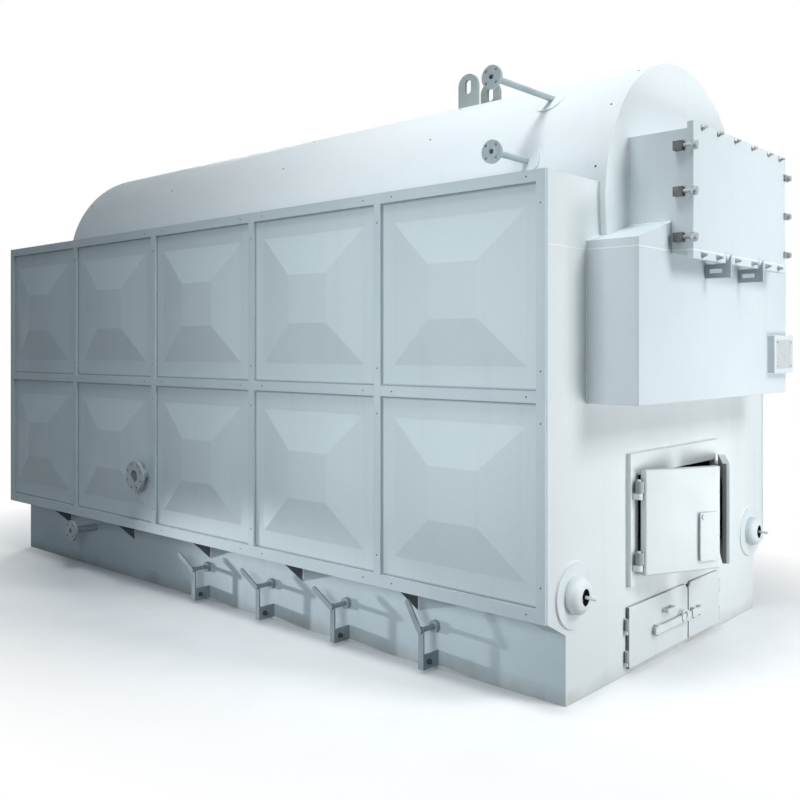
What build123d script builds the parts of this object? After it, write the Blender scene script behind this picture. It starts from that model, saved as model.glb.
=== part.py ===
from build123d import *
import os
from math import cos, radians, sin

# Package boiler on a steel base: a lagged steam drum lies on a panelled furnace casing.
# Millimetres. +Z is up, the firing front faces -Y, and the drum lies along Y.
# The origin is on the floor, under the middle of the whole boiler.

# Fits shared by all pieces
FIT_GAP = 0.3
CUT_OVERRUN = 5.0

# Furnace casing
CASING_LENGTH = 5055.0
CASING_WIDTH = 2494.0
CASING_TOP = 2400.0
CASING_BOTTOM = 400.0
CASING_WALL = 165.0
FRONT_WALL = 110.0
FRONT_NOTCH_DROP = 80.0
REAR_WALL = 91.0
DECK_THICKNESS = 8.0
DECK_BREADTH = 435.0

# Pressed side panels and the strips that cover their joints
SHEET_THICKNESS = 4.0
SHEET_GAP = 8.0
PANEL_COLUMNS = 5
REAR_COLUMNS = 2
PYRAMID_RISE = 36.0
PYRAMID_BASE_WIDTH_SHARE = 0.83
PYRAMID_BASE_HEIGHT_SHARE = 0.77
PYRAMID_FLAT_WIDTH_SHARE = 0.31
PYRAMID_FLAT_HEIGHT_SHARE = 0.29
STRIP_THICKNESS = 13.0
STILE_WIDTH = 48.0
TOP_RAIL = 55.0
MID_RAIL = 53.0
BOTTOM_RAIL = 63.0
MID_RAIL_HEIGHT = 1395.0

# Base frame, ash pit and grate
BASE_INSET = 167.0
BASE_WEB = 12.0
BASE_FLANGE = 90.0
PIT_FLOOR = 10.0
GUSSET_COUNT = 5
GUSSET_PITCH_SHARE = 0.174
GUSSET_THICKNESS = 10.0
GUSSET_REACH = 145.0
GUSSET_DROP = 130.0
GRATE_DEPTH = 40.0
GRATE_BAR = 62.0
GRATE_SLOT = 10.0
GRATE_RAIL = 60.0

# Steam drum with its lagging
DRUM_HEIGHT = 2312.0
DRUM_LAGGING = 85.0
DRUM_END = 20.0
DRUM_REACH = 38.0

# Lifting lugs on the drum
LUG_SPACING = 230.0
LUG_PLACE = 1300.0
LUG_WIDTH = 150.0
LUG_RISE = 205.0
LUG_THICKNESS = 20.0
LUG_SLOT_WIDTH = 46.0
LUG_SLOT_LENGTH = 90.0
LUG_SLOT_DROP = 80.0

# Water gauge pipes
GAUGE_PLACE = 430.0
GAUGE_RISE_SHARES = (0.765, 0.312)
GAUGE_REACH = 265.0
GAUGE_PIPE_RADIUS = 16.0
GAUGE_BORE = 12.5
GAUGE_FLANGE_RADIUS = 57.5
GAUGE_FLANGE = 16.0
GAUGE_BOLT_CIRCLE = 85.0
GAUGE_BOLTS = 4
GAUGE_BOLT_RADIUS = 7.0
GAUGE_PAD_RADIUS = 78.0
GAUGE_PAD = 7.0
GAUGE_BLIND_END = 30.0

# Smoke box on the front of the drum
SMOKE_BOX_WIDTH = 1166.0
SMOKE_BOX_TOP = 2635.0
SMOKE_BOX_BOTTOM = 2060.0
SMOKE_BOX_PLATE = 10.0
SMOKE_BOX_REACH = 344.0
SMOKE_FLANGE_LIP = 31.0
SMOKE_FLANGE_WIDTH = 50.0
SMOKE_FLANGE = 15.0
SMOKE_COVER = 15.0

# Clamps and rests of the smoke box cover
CLAMP_PLACES_SHARES = (0.859, 0.489, 0.118)
CLAMP_LUG_LENGTH = 46.0
CLAMP_LUG_HEIGHT = 44.0
CLAMP_LUG_DEPTH = 30.0
CLAMP_LUG_SETBACK = 12.0
CLAMP_BOLT_RADIUS = 9.0
CLAMP_BOLT_STANDOFF = 15.0
CLAMP_DOG_GRIP = 26.0
CLAMP_DOG_HEIGHT = 34.0
CLAMP_DOG = 12.0
CLAMP_NUT_RADIUS = 15.0
CLAMP_NUT = 14.0
REST_SPACING = 410.0
REST_THICKNESS = 16.0
REST_DEPTH = 69.0
REST_NOSE_RISE = 44.0
REST_NOSE = 24.0
REST_SLOT_LENGTH = 70.0
REST_SLOT_HEIGHT = 22.0

# Flue hood under the smoke box
HOOD_WIDTH = 1800.0
HOOD_BOTTOM = 1355.0
HOOD_EAVES = 2110.0
HOOD_SHOULDER = 2205.0
HOOD_REACH = 265.0
HOOD_SHEET = 8.0
PLATE_BOX_LEFT = 600.0
PLATE_BOX_WIDTH = 290.0
PLATE_BOX_BOTTOM = 1472.0
PLATE_BOX_HEIGHT = 213.0
PLATE_BOX_DEPTH = 45.0
PLATE_BOX_CORNER = 8.0

# Doorways in the front wall
DOORWAY_WIDTH = 900.0
FIRING_SILL = 520.0
FIRING_HEAD = 980.0
ASH_SILL = 45.0
ASH_HEAD = 322.0

# Firing door
FRAME_WIDTH = 1050.0
FRAME_TOP = 1090.0
FRAME_BOTTOM = 434.0
FRAME_THICKNESS = 25.0
LEAF_THICKNESS = 40.0
LEAF_LAP = 30.0
LEAF_SEAL_GAP = 6.0
LEAF_HINGE_OFFSET = 40.0
LEAF_AJAR_ANGLE = 26.0
LEAF_MEETING_GAP = 12.0
LEAF_EDGE_ROUND = 8.0
KNUCKLE_RADIUS = 18.0
KNUCKLE_HEIGHT = 60.0
KNUCKLE_EDGE_GAP = 6.0
KNUCKLE_ARM = 20.0
KNUCKLE_PLACES_SHARES = (0.16, 0.84)
HINGE_PIN_RADIUS = 9.0
HINGE_PIN_TAIL = 8.0
HINGE_LUG_HEIGHT = 30.0
SHIELD_INSET = 40.0
SHIELD_THICKNESS = 6.0
SHIELD_STANDOFF = 20.0
SHIELD_PIN_RADIUS = 8.0
SHIELD_PIN_INSET = 50.0

# Peephole in the left leaf, with its hanging cover
PEEPHOLE_RADIUS = 26.0
COVER_PLATE_WIDTH = 110.0
COVER_PLATE_HEIGHT = 245.0
COVER_PLATE = 8.0
COVER_PLATE_EDGE = 26.0
COVER_PLATE_FOOT = 48.0
COVER_PIVOT_INSET = 22.0
COVER_PIVOT_RADIUS = 6.0
COVER_BOSS_RADIUS = 14.0
COVER_STANDOFF = 6.0
COVER_HEAD = 6.0
COVER_CORNER = 10.0

# Ash door
ASH_LEAF_THICKNESS = 12.0
ASH_LEAF_LAP = 12.0
ASH_SIDE_LAP = 80.0
ASH_MEETING_PLACE = 130.0
ASH_MEETING_GAP = 12.0
ASH_CORNER_CUT = 30.0
ASH_SEAL_GAP = 6.0
ASH_KNUCKLE_RADIUS = 9.0
ASH_KNUCKLE_HEIGHT = 55.0
ASH_KNUCKLE_EDGE_GAP = 6.0
ASH_PIN_RADIUS = 5.0
ASH_PIN_TAIL = 5.0
ASH_LUG_HEIGHT = 18.0
ASH_KNUCKLE_PLACES_SHARES = (0.2, 0.72)
ASH_HANDLE_WIDTH = 90.0
ASH_HANDLE_HEIGHT = 20.0
ASH_HANDLE_STANDOFF = 34.0
ASH_HANDLE_BAR = 10.0
ASH_HANDLE_EDGE = 210.0
ASH_HANDLE_RISE = 56.0
ASH_BAR_LENGTH = 414.0
ASH_BAR_KEEPER = 140.0
ASH_BAR_HEIGHT = 38.0
ASH_BAR_THICKNESS = 10.0
ASH_BAR_STANDOFF = 14.0
ASH_BAR_DROP = 15.0
ASH_STAPLE_WIDTH = 26.0
ASH_STAPLE_HEIGHT = 54.0
ASH_STAPLE_INSET = 20.0
ASH_RING_RADIUS = 30.0
ASH_RING_WIRE = 5.0
ASH_RING_EDGE = 87.0
ASH_RING_LIFT = 11.0

# Header ends that show in the front wall
HEADER_INSET = 215.0
HEADER_HEIGHT = 490.0
HEADER_RADIUS = 84.0
HEADER_SHOULDER_ROUND = 36.0
HEADER_REACH = 66.0
HEADER_RING_RADIUS = 150.0
HEADER_RING = 10.0
HANDHOLE_WIDTH = 62.0
HANDHOLE_HEIGHT = 78.0
HANDHOLE_DEPTH = 24.0
HANDHOLE_STUD_RADIUS = 8.0
HANDHOLE_STUD = 54.0

# Side nozzles
NOZZLE_PLACE = 3150.0
NOZZLE_HEIGHT = 771.0
NOZZLE_PIPE_RADIUS = 44.5
NOZZLE_BORE = 40.0
NOZZLE_FLANGE_RADIUS = 100.0
NOZZLE_FLANGE = 20.0
NOZZLE_REACH = 70.0
NOZZLE_ROOT = 80.0
NOZZLE_BOLT_CIRCLE = 160.0
NOZZLE_BOLTS = 8
NOZZLE_BOLT_RADIUS = 9.0

# Drain pipes under the casing
DRAIN_PLACE = 4040.0
DRAIN_HEIGHT = 289.0
DRAIN_PIPE_RADIUS = 24.0
DRAIN_BORE = 20.0
DRAIN_FLANGE_RADIUS = 75.0
DRAIN_FLANGE = 18.0
DRAIN_REACH = 205.0
DRAIN_ROOT = 30.0
DRAIN_BOLT_CIRCLE = 110.0
DRAIN_BOLTS = 4
DRAIN_BOLT_RADIUS = 9.0

# Air damper handles on the left side of the base
DAMPER_FIRST = 760.0
DAMPER_PITCH = 633.0
DAMPER_ANGLES = (31.0, 60.0, 60.0, 60.0)
DAMPER_SHAFT_HEIGHT = 215.0
DAMPER_SHAFT_RADIUS = 12.5
DAMPER_SHAFT_ROOT = 30.0
DAMPER_COLLAR_RADIUS = 30.0
DAMPER_COLLAR = 22.0
DAMPER_POST_REACH = 108.0
DAMPER_POST_WIDTH = 34.0
DAMPER_POST = 8.0
DAMPER_POST_FOOT = 20.0
DAMPER_BRACKET_HEIGHT = 75.0
DAMPER_HANDLE_GAP = 7.0
DAMPER_HANDLE = 8.0
DAMPER_HANDLE_WIDTH = 30.0
DAMPER_HANDLE_LENGTH = 150.0

# Places worked out from the sizes above
wall_half = CASING_WIDTH / 2 - STRIP_THICKNESS - SHEET_THICKNESS
furnace_half = wall_half - CASING_WALL
drum_radius = wall_half - DECK_BREADTH
base_half = CASING_WIDTH / 2 - BASE_INSET
doorway_half = DOORWAY_WIDTH / 2
smoke_half = SMOKE_BOX_WIDTH / 2
header_x = wall_half - HEADER_INSET
front_reach = SMOKE_BOX_REACH + SMOKE_FLANGE + SMOKE_COVER + max(REST_NOSE, CLAMP_DOG + CLAMP_NUT)
rear_reach = PYRAMID_RISE - STRIP_THICKNESS
front_y = (front_reach - CASING_LENGTH - rear_reach) / 2
rear_y = front_y + CASING_LENGTH
wall_back_y = front_y + FRONT_WALL
rear_wall_y = rear_y - STRIP_THICKNESS - SHEET_THICKNESS
drum_rear_y = rear_wall_y - REAR_WALL
drum_front_y = front_y - DRUM_REACH
deck_bottom = CASING_TOP - DECK_THICKNESS
furnace_floor = CASING_BOTTOM + GRATE_DEPTH


def block(x0, x1, y0, y1, z0, z1):
    """Box between two corners."""
    corner = (Align.MIN, Align.MIN, Align.MIN)
    return Pos(x0, y0, z0) * Box(x1 - x0, y1 - y0, z1 - z0, align=corner)


def rod(start, direction, radius, length):
    """Round bar from a point along a direction."""
    base = (Align.CENTER, Align.CENTER, Align.MIN)
    return Plane(origin=start, z_dir=direction) * Cylinder(radius, length, align=base)


def prism(points, direction, length):
    """Flat outline pushed along a direction."""
    return extrude(make_face(Polyline(*points, close=True)), amount=length, dir=direction)


def mirrored(shape):
    """The same piece on the other side of the boiler."""
    return mirror(shape, about=Plane.YZ)


def both_sides(shape):
    return [shape, mirrored(shape)]


def drum_body(radius, y0, y1):
    return rod((0, y0, DRUM_HEIGHT), (0, 1, 0), radius, y1 - y0)


def save(name, pieces):
    solids = [solid for piece in pieces for solid in piece.solids()]
    export_step(Compound(children=solids), os.path.join("parts", name + ".step"))


# Front wall, split beside and over the two doorways
def front_walls():
    notch_z = CASING_BOTTOM - FRONT_NOTCH_DROP
    outline = [
        (-doorway_half, front_y, 0),
        (-base_half, front_y, 0),
        (-base_half, front_y, notch_z),
        (-wall_half, front_y, CASING_BOTTOM),
        (-wall_half, front_y, CASING_TOP),
        (-doorway_half, front_y, CASING_TOP),
    ]
    seat = drum_body(drum_radius + FIT_GAP, front_y - CUT_OVERRUN, wall_back_y + CUT_OVERRUN)
    header_seat = rod(
        (-header_x, front_y - CUT_OVERRUN, HEADER_HEIGHT),
        (0, 1, 0),
        HEADER_RADIUS + FIT_GAP,
        FRONT_WALL + 2 * CUT_OVERRUN,
    )
    left_pier = prism(outline, (0, 1, 0), FRONT_WALL) - seat - header_seat
    lintel = block(-doorway_half, doorway_half, front_y, wall_back_y, FIRING_HEAD, DRUM_HEIGHT) - seat
    band = block(-doorway_half, doorway_half, front_y, wall_back_y, ASH_HEAD, FIRING_SILL)
    sill = block(-doorway_half, doorway_half, front_y, wall_back_y, 0, ASH_SILL)
    save("front_left_pier", [left_pier])
    save("front_right_pier", [mirrored(left_pier)])
    save("front_lintel", [lintel])
    save("front_middle_band", [band])
    save("ash_door_sill", [sill])


# Side walls, rear wall and the decks beside the drum
def nozzle_rod(radius, start_x, length):
    return rod((start_x, front_y + NOZZLE_PLACE, NOZZLE_HEIGHT), (1, 0, 0), radius, length)


def casing_walls():
    left = block(-wall_half, -furnace_half, wall_back_y, drum_rear_y, CASING_BOTTOM, deck_bottom)
    left -= nozzle_rod(NOZZLE_PIPE_RADIUS + FIT_GAP, -wall_half - CUT_OVERRUN, NOZZLE_ROOT + CUT_OVERRUN)
    rear = block(-wall_half, wall_half, drum_rear_y, rear_wall_y, CASING_BOTTOM, CASING_TOP)
    deck = block(-wall_half, -drum_radius / 2, wall_back_y, drum_rear_y, deck_bottom, CASING_TOP)
    deck -= drum_body(drum_radius + FIT_GAP, front_y, rear_y)
    save("left_casing_wall", [left])
    save("right_casing_wall", [mirrored(left)])
    save("rear_wall", [rear])
    save("top_decks", both_sides(deck))


# Base beams, pit floor, gussets and grate
def base_beam():
    inner = -base_half + BASE_FLANGE
    web_face = -base_half + BASE_WEB
    outline = [
        (-base_half, wall_back_y, 0),
        (inner, wall_back_y, 0),
        (inner, wall_back_y, BASE_WEB),
        (web_face, wall_back_y, BASE_WEB),
        (web_face, wall_back_y, CASING_BOTTOM - BASE_WEB),
        (inner, wall_back_y, CASING_BOTTOM - BASE_WEB),
        (inner, wall_back_y, CASING_BOTTOM),
        (-base_half, wall_back_y, CASING_BOTTOM),
    ]
    beam = prism(outline, (0, 1, 0), rear_y - BASE_WEB - wall_back_y)
    drain = (-base_half - CUT_OVERRUN, front_y + DRAIN_PLACE, DRAIN_HEIGHT)
    return beam - rod(drain, (1, 0, 0), DRAIN_PIPE_RADIUS + FIT_GAP, BASE_WEB + 2 * CUT_OVERRUN)


def base_frame():
    left_beam = base_beam()
    for setting in range(len(DAMPER_ANGLES)):
        start = (-base_half - CUT_OVERRUN, damper_y(setting), DAMPER_SHAFT_HEIGHT)
        left_beam -= rod(start, (1, 0, 0), DAMPER_SHAFT_RADIUS + FIT_GAP, BASE_WEB + 2 * CUT_OVERRUN)
    floor_half = base_half - BASE_FLANGE
    floor = block(-floor_half, floor_half, wall_back_y, rear_y - BASE_WEB, 0, PIT_FLOOR)
    rear = block(-base_half, base_half, rear_y - BASE_WEB, rear_y, 0, CASING_BOTTOM)
    gussets = []
    for place in range(1, GUSSET_COUNT + 1):
        y = front_y + CASING_LENGTH * GUSSET_PITCH_SHARE * place - GUSSET_THICKNESS / 2
        corners = [
            (-base_half, y, CASING_BOTTOM),
            (-base_half - GUSSET_REACH, y, CASING_BOTTOM),
            (-base_half, y, CASING_BOTTOM - GUSSET_DROP),
        ]
        gussets += both_sides(prism(corners, (0, 1, 0), GUSSET_THICKNESS))
    save("base_left_beam", [left_beam])
    save("base_right_beam", [mirrored(base_beam())])
    save("base_rear_plate", [rear])
    save("ash_pit_floor", [floor])
    save("casing_gussets", gussets)


def grate():
    length = drum_rear_y - wall_back_y
    bed = block(-furnace_half, furnace_half, wall_back_y, drum_rear_y, CASING_BOTTOM, furnace_floor)
    slot_half = furnace_half - GRATE_RAIL
    pitch = GRATE_BAR + GRATE_SLOT
    count = int((length - GRATE_BAR) / pitch)
    margin = (length - count * pitch + GRATE_SLOT) / 2
    under = CASING_BOTTOM - CUT_OVERRUN
    over = furnace_floor + CUT_OVERRUN
    slots = []
    for number in range(count):
        y = wall_back_y + margin + number * pitch
        slots.append(block(-slot_half, slot_half, y, y + GRATE_SLOT, under, over))
    save("grate_bed", [bed - slots])


# Pressed panels and cover strips, drawn flat and then stood against a wall
def pressed_sheet(left, right, low, high, base_width, base_height, flat_width, flat_height, centre_z):
    centre_x = (left + right) / 2
    sheet = block(left, right, low, high, 0, SHEET_THICKNESS)

    def pyramid(start):
        foot = Pos(centre_x, centre_z, start) * Rectangle(base_width, base_height)
        top = Pos(centre_x, centre_z, start + PYRAMID_RISE) * Rectangle(flat_width, flat_height)
        return loft([foot, top])

    return sheet + pyramid(SHEET_THICKNESS) - pyramid(0)


def panel_rows():
    """Low and high edges of the field that shows in each row, and of the sheet behind it."""
    half_rail = MID_RAIL / 2
    lower = (CASING_BOTTOM + BOTTOM_RAIL, MID_RAIL_HEIGHT - half_rail, CASING_BOTTOM, MID_RAIL_HEIGHT)
    upper = (MID_RAIL_HEIGHT + half_rail, CASING_TOP - TOP_RAIL, MID_RAIL_HEIGHT, CASING_TOP)
    return (lower, upper)


def panel_field(length, columns):
    pitch = length / columns
    field_width = pitch - STILE_WIDTH
    sheets = []
    for column in range(columns):
        left = column * pitch + SHEET_GAP / 2
        right = (column + 1) * pitch - SHEET_GAP / 2
        for field_low, field_high, sheet_low, sheet_high in panel_rows():
            field_height = field_high - field_low
            sheets.append(
                pressed_sheet(
                    left,
                    right,
                    sheet_low + SHEET_GAP / 2,
                    sheet_high - SHEET_GAP / 2,
                    field_width * PYRAMID_BASE_WIDTH_SHARE,
                    field_height * PYRAMID_BASE_HEIGHT_SHARE,
                    field_width * PYRAMID_FLAT_WIDTH_SHARE,
                    field_height * PYRAMID_FLAT_HEIGHT_SHARE,
                    (field_low + field_high) / 2,
                )
            )
    return sheets


def strip(left, right, low, high):
    return block(left, right, low, high, SHEET_THICKNESS, SHEET_THICKNESS + STRIP_THICKNESS)


def strip_edges(length, columns):
    """Left edge of each upright strip."""
    pitch = length / columns
    inner = [column * pitch - STILE_WIDTH / 2 for column in range(1, columns)]
    return [0] + inner + [length - STILE_WIDTH]


def upright_strips(length, columns):
    low = CASING_BOTTOM + BOTTOM_RAIL
    high = CASING_TOP - TOP_RAIL
    return [strip(edge, edge + STILE_WIDTH, low, high) for edge in strip_edges(length, columns)]


def middle_strips(length, columns):
    low = MID_RAIL_HEIGHT - MID_RAIL / 2
    edges = strip_edges(length, columns)
    return [
        strip(edge + STILE_WIDTH, following, low, low + MID_RAIL)
        for edge, following in zip(edges, edges[1:])
    ]


def casing_cladding():
    left_side = Plane(origin=(-wall_half, rear_y, 0), x_dir=(0, -1, 0), z_dir=(-1, 0, 0))
    rear_side = Plane(origin=(wall_half, rear_wall_y, 0), x_dir=(-1, 0, 0), z_dir=(0, 1, 0))
    rear_length = 2 * wall_half
    nozzle_hole = nozzle_rod(NOZZLE_PIPE_RADIUS + FIT_GAP, -CASING_WIDTH, CASING_WIDTH - furnace_half)
    left_panels = [left_side * sheet - nozzle_hole for sheet in panel_field(CASING_LENGTH, PANEL_COLUMNS)]
    save("left_panels", left_panels)
    save("right_panels", [mirrored(panel) for panel in left_panels])
    save("rear_panels", [rear_side * sheet for sheet in panel_field(rear_length, REAR_COLUMNS)])

    def around(name, side_strips, rear_strips):
        pieces = []
        for piece in side_strips:
            pieces += both_sides(left_side * piece)
        pieces += [rear_side * piece for piece in rear_strips]
        save(name, pieces)

    top_low = CASING_TOP - TOP_RAIL
    bottom_high = CASING_BOTTOM + BOTTOM_RAIL
    around(
        "casing_stiles",
        upright_strips(CASING_LENGTH, PANEL_COLUMNS),
        upright_strips(rear_length, REAR_COLUMNS),
    )
    around(
        "casing_mid_rails",
        middle_strips(CASING_LENGTH, PANEL_COLUMNS),
        middle_strips(rear_length, REAR_COLUMNS),
    )
    around(
        "casing_top_rails",
        [strip(0, CASING_LENGTH, top_low, CASING_TOP)],
        [strip(0, rear_length, top_low, CASING_TOP)],
    )
    around(
        "casing_bottom_rails",
        [strip(0, CASING_LENGTH, CASING_BOTTOM, bottom_high)],
        [strip(0, rear_length, CASING_BOTTOM, bottom_high)],
    )


# Drum shell, its two ends and what stands on it
def drum():
    shell_front = drum_front_y + DRUM_END
    shell_rear = drum_rear_y - DRUM_END
    shell = drum_body(drum_radius, shell_front, shell_rear)
    shell -= drum_body(drum_radius - DRUM_LAGGING, shell_front, shell_rear)
    save("drum_shell", [shell])
    save("drum_front_plate", [drum_body(drum_radius, drum_front_y, shell_front)])
    save("drum_rear_plate", [drum_body(drum_radius, shell_rear, drum_rear_y)])


def lifting_lugs():
    top_z = DRUM_HEIGHT + drum_radius + LUG_RISE
    round_z = top_z - LUG_WIDTH / 2
    slot_z = top_z - LUG_SLOT_DROP
    x = LUG_SPACING / 2 - LUG_THICKNESS / 2
    y = front_y + LUG_PLACE
    lug = block(x, x + LUG_THICKNESS, y - LUG_WIDTH / 2, y + LUG_WIDTH / 2, DRUM_HEIGHT, round_z)
    lug += rod((x, y, round_z), (1, 0, 0), LUG_WIDTH / 2, LUG_THICKNESS)
    half_run = (LUG_SLOT_LENGTH - LUG_SLOT_WIDTH) / 2
    slot_start = x - CUT_OVERRUN
    slot_depth = LUG_THICKNESS + 2 * CUT_OVERRUN
    for end in (-half_run, half_run):
        lug -= rod((slot_start, y, slot_z + end), (1, 0, 0), LUG_SLOT_WIDTH / 2, slot_depth)
    lug -= block(
        slot_start,
        slot_start + slot_depth,
        y - LUG_SLOT_WIDTH / 2,
        y + LUG_SLOT_WIDTH / 2,
        slot_z - half_run,
        slot_z + half_run,
    )
    lug -= drum_body(drum_radius + FIT_GAP, front_y, rear_y)
    save("lifting_lugs", both_sides(lug))


def flanged_pipe(
    face,
    direction,
    length,
    pipe_radius,
    bore,
    flange_radius,
    flange,
    circle,
    bolts,
    bolt_radius,
    blind,
):
    """Pipe that starts at its flange face and runs along a direction into what carries it."""
    pipe = rod(face, direction, pipe_radius, length) + rod(face, direction, flange_radius, flange)
    pipe -= rod(face, direction, bore, length - blind)
    x, y, z = face
    for number in range(bolts):
        angle = radians((number + 1 / 2) * 360 / bolts)
        place = (x, y + circle / 2 * cos(angle), z + circle / 2 * sin(angle))
        pipe -= rod(place, direction, bolt_radius, flange)
    return pipe


def gauge_pipes():
    pipes = []
    pads = []
    y = front_y + GAUGE_PLACE
    drum_skin = drum_body(drum_radius + FIT_GAP, front_y, rear_y)
    pad_layer = drum_body(drum_radius + GAUGE_PAD, front_y, rear_y) - drum_skin
    face_x = drum_radius + GAUGE_REACH
    for share in GAUGE_RISE_SHARES:
        rise = drum_radius * share
        meeting_x = (drum_radius**2 - rise**2) ** 0.5
        length = face_x - meeting_x + GAUGE_BLIND_END
        face = (-face_x, y, DRUM_HEIGHT + rise)
        pipe = flanged_pipe(
            face,
            (1, 0, 0),
            length,
            GAUGE_PIPE_RADIUS,
            GAUGE_BORE,
            GAUGE_FLANGE_RADIUS,
            GAUGE_FLANGE,
            GAUGE_BOLT_CIRCLE,
            GAUGE_BOLTS,
            GAUGE_BOLT_RADIUS,
            2 * GAUGE_BLIND_END,
        )
        pipe -= drum_skin
        pad = rod(face, (1, 0, 0), GAUGE_PAD_RADIUS, face_x) & pad_layer
        pad -= rod(face, (1, 0, 0), GAUGE_PIPE_RADIUS + FIT_GAP, face_x)
        pipes += both_sides(pipe)
        pads += both_sides(pad)
    save("gauge_pipes", pipes)
    save("gauge_pads", pads)


# Smoke box, cover, clamps and rests
def smoke_box():
    box_front = front_y - SMOKE_BOX_REACH
    flange_front = box_front - SMOKE_FLANGE
    cover_front = flange_front - SMOKE_COVER
    inner = smoke_half - SMOKE_BOX_PLATE
    flange_top = SMOKE_BOX_TOP + SMOKE_FLANGE_LIP
    flange_bottom = SMOKE_BOX_BOTTOM - SMOKE_FLANGE_LIP
    window_half = smoke_half - SMOKE_FLANGE_WIDTH
    box = block(-smoke_half, smoke_half, box_front, drum_front_y, SMOKE_BOX_BOTTOM, SMOKE_BOX_TOP)
    box += block(-smoke_half, smoke_half, flange_front, box_front, flange_bottom, flange_top)
    box -= block(
        -inner,
        inner,
        box_front,
        drum_front_y,
        SMOKE_BOX_BOTTOM + SMOKE_BOX_PLATE,
        SMOKE_BOX_TOP - SMOKE_BOX_PLATE,
    )
    box -= block(
        -window_half,
        window_half,
        flange_front,
        box_front,
        SMOKE_BOX_BOTTOM + SMOKE_BOX_PLATE,
        SMOKE_BOX_TOP - SMOKE_BOX_PLATE,
    )
    cover = block(-smoke_half, smoke_half, cover_front, flange_front, flange_bottom, flange_top)
    save("smoke_box", [box])
    save("smoke_box_cover", [cover])
    clamps = []
    for share in CLAMP_PLACES_SHARES:
        z = SMOKE_BOX_BOTTOM + (SMOKE_BOX_TOP - SMOKE_BOX_BOTTOM) * share
        clamps += both_sides(cover_clamp(z, box_front, cover_front))
    save("cover_clamps", clamps)
    save("cover_rests", both_sides(cover_rest(flange_bottom, cover_front)))


def cover_clamp(z, box_front, cover_front):
    """Lug on the side of the smoke box with a bolt whose dog grips the cover."""
    side = -smoke_half
    lug_front = box_front + CLAMP_LUG_SETBACK
    bolt_x = side - CLAMP_BOLT_STANDOFF
    dog_front = cover_front - CLAMP_DOG
    clamp = block(
        side - CLAMP_LUG_DEPTH,
        side,
        lug_front,
        lug_front + CLAMP_LUG_LENGTH,
        z - CLAMP_LUG_HEIGHT / 2,
        z + CLAMP_LUG_HEIGHT / 2,
    )
    nut_front = (bolt_x, dog_front - CLAMP_NUT, z)
    clamp += rod(nut_front, (0, 1, 0), CLAMP_BOLT_RADIUS, lug_front - dog_front + CLAMP_NUT)
    clamp += block(
        side - CLAMP_LUG_DEPTH,
        side + CLAMP_DOG_GRIP,
        dog_front,
        cover_front,
        z - CLAMP_DOG_HEIGHT / 2,
        z + CLAMP_DOG_HEIGHT / 2,
    )
    clamp += rod(nut_front, (0, 1, 0), CLAMP_NUT_RADIUS, CLAMP_NUT)
    return clamp


def cover_rest(flange_bottom, cover_front):
    """Hooked bar on the hood that carries the foot of the cover."""
    x = -REST_SPACING / 2 - REST_THICKNESS / 2
    hood_front = front_y - HOOD_REACH
    tip = cover_front - REST_NOSE
    low = flange_bottom - REST_DEPTH
    outline = [
        (x, hood_front, low),
        (x, tip, low),
        (x, tip, flange_bottom + REST_NOSE_RISE),
        (x, cover_front - FIT_GAP, flange_bottom),
        (x, hood_front, flange_bottom),
    ]
    slot_y = (hood_front + cover_front) / 2 - REST_SLOT_LENGTH / 2
    slot_z = (low + flange_bottom) / 2 - REST_SLOT_HEIGHT / 2
    slot = block(
        x - CUT_OVERRUN,
        x + REST_THICKNESS + CUT_OVERRUN,
        slot_y,
        slot_y + REST_SLOT_LENGTH,
        slot_z,
        slot_z + REST_SLOT_HEIGHT,
    )
    return prism(outline, (1, 0, 0), REST_THICKNESS) - slot


# Flue hood and the plate box on it
def flue_hood():
    half = HOOD_WIDTH / 2
    neck = smoke_half + FIT_GAP
    saddle = SMOKE_BOX_BOTTOM - FIT_GAP
    corners = [
        (-half, front_y, HOOD_BOTTOM),
        (half, front_y, HOOD_BOTTOM),
        (half, front_y, HOOD_EAVES),
        (neck, front_y, HOOD_SHOULDER),
        (neck, front_y, saddle),
        (-neck, front_y, saddle),
        (-neck, front_y, HOOD_SHOULDER),
        (-half, front_y, HOOD_EAVES),
    ]
    outline = make_face(Polyline(*corners, close=True))
    inside = offset(outline, -HOOD_SHEET, kind=Kind.INTERSECTION)
    hood = extrude(outline, amount=HOOD_REACH, dir=(0, -1, 0))
    hood -= extrude(inside, amount=HOOD_REACH - HOOD_SHEET, dir=(0, -1, 0))
    hood -= drum_body(drum_radius + FIT_GAP, drum_front_y - FIT_GAP, wall_back_y)
    save("flue_hood", [hood])
    hood_front = front_y - HOOD_REACH
    box = block(
        PLATE_BOX_LEFT,
        PLATE_BOX_LEFT + PLATE_BOX_WIDTH,
        hood_front - PLATE_BOX_DEPTH,
        hood_front,
        PLATE_BOX_BOTTOM,
        PLATE_BOX_BOTTOM + PLATE_BOX_HEIGHT,
    )
    box = fillet(box.edges().filter_by(Axis.Y), PLATE_BOX_CORNER)
    save("plate_box", [box])


# Firing door: frame, pintles and two leaves, drawn shut and then swung ajar
leaf_axis_x = -doorway_half - LEAF_HINGE_OFFSET
leaf_axis_y = front_y - FRAME_THICKNESS - LEAF_SEAL_GAP - LEAF_THICKNESS / 2
leaf_low = FIRING_SILL - LEAF_LAP
leaf_high = FIRING_HEAD + LEAF_LAP
leaf_edge = leaf_axis_x + KNUCKLE_RADIUS + KNUCKLE_EDGE_GAP
leaf_front = leaf_axis_y - LEAF_THICKNESS / 2
leaf_back = leaf_axis_y + LEAF_THICKNESS / 2
shield_front = leaf_back + SHIELD_STANDOFF


def knuckle_floor(share):
    return leaf_low + (leaf_high - leaf_low) * share - KNUCKLE_HEIGHT / 2


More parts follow.
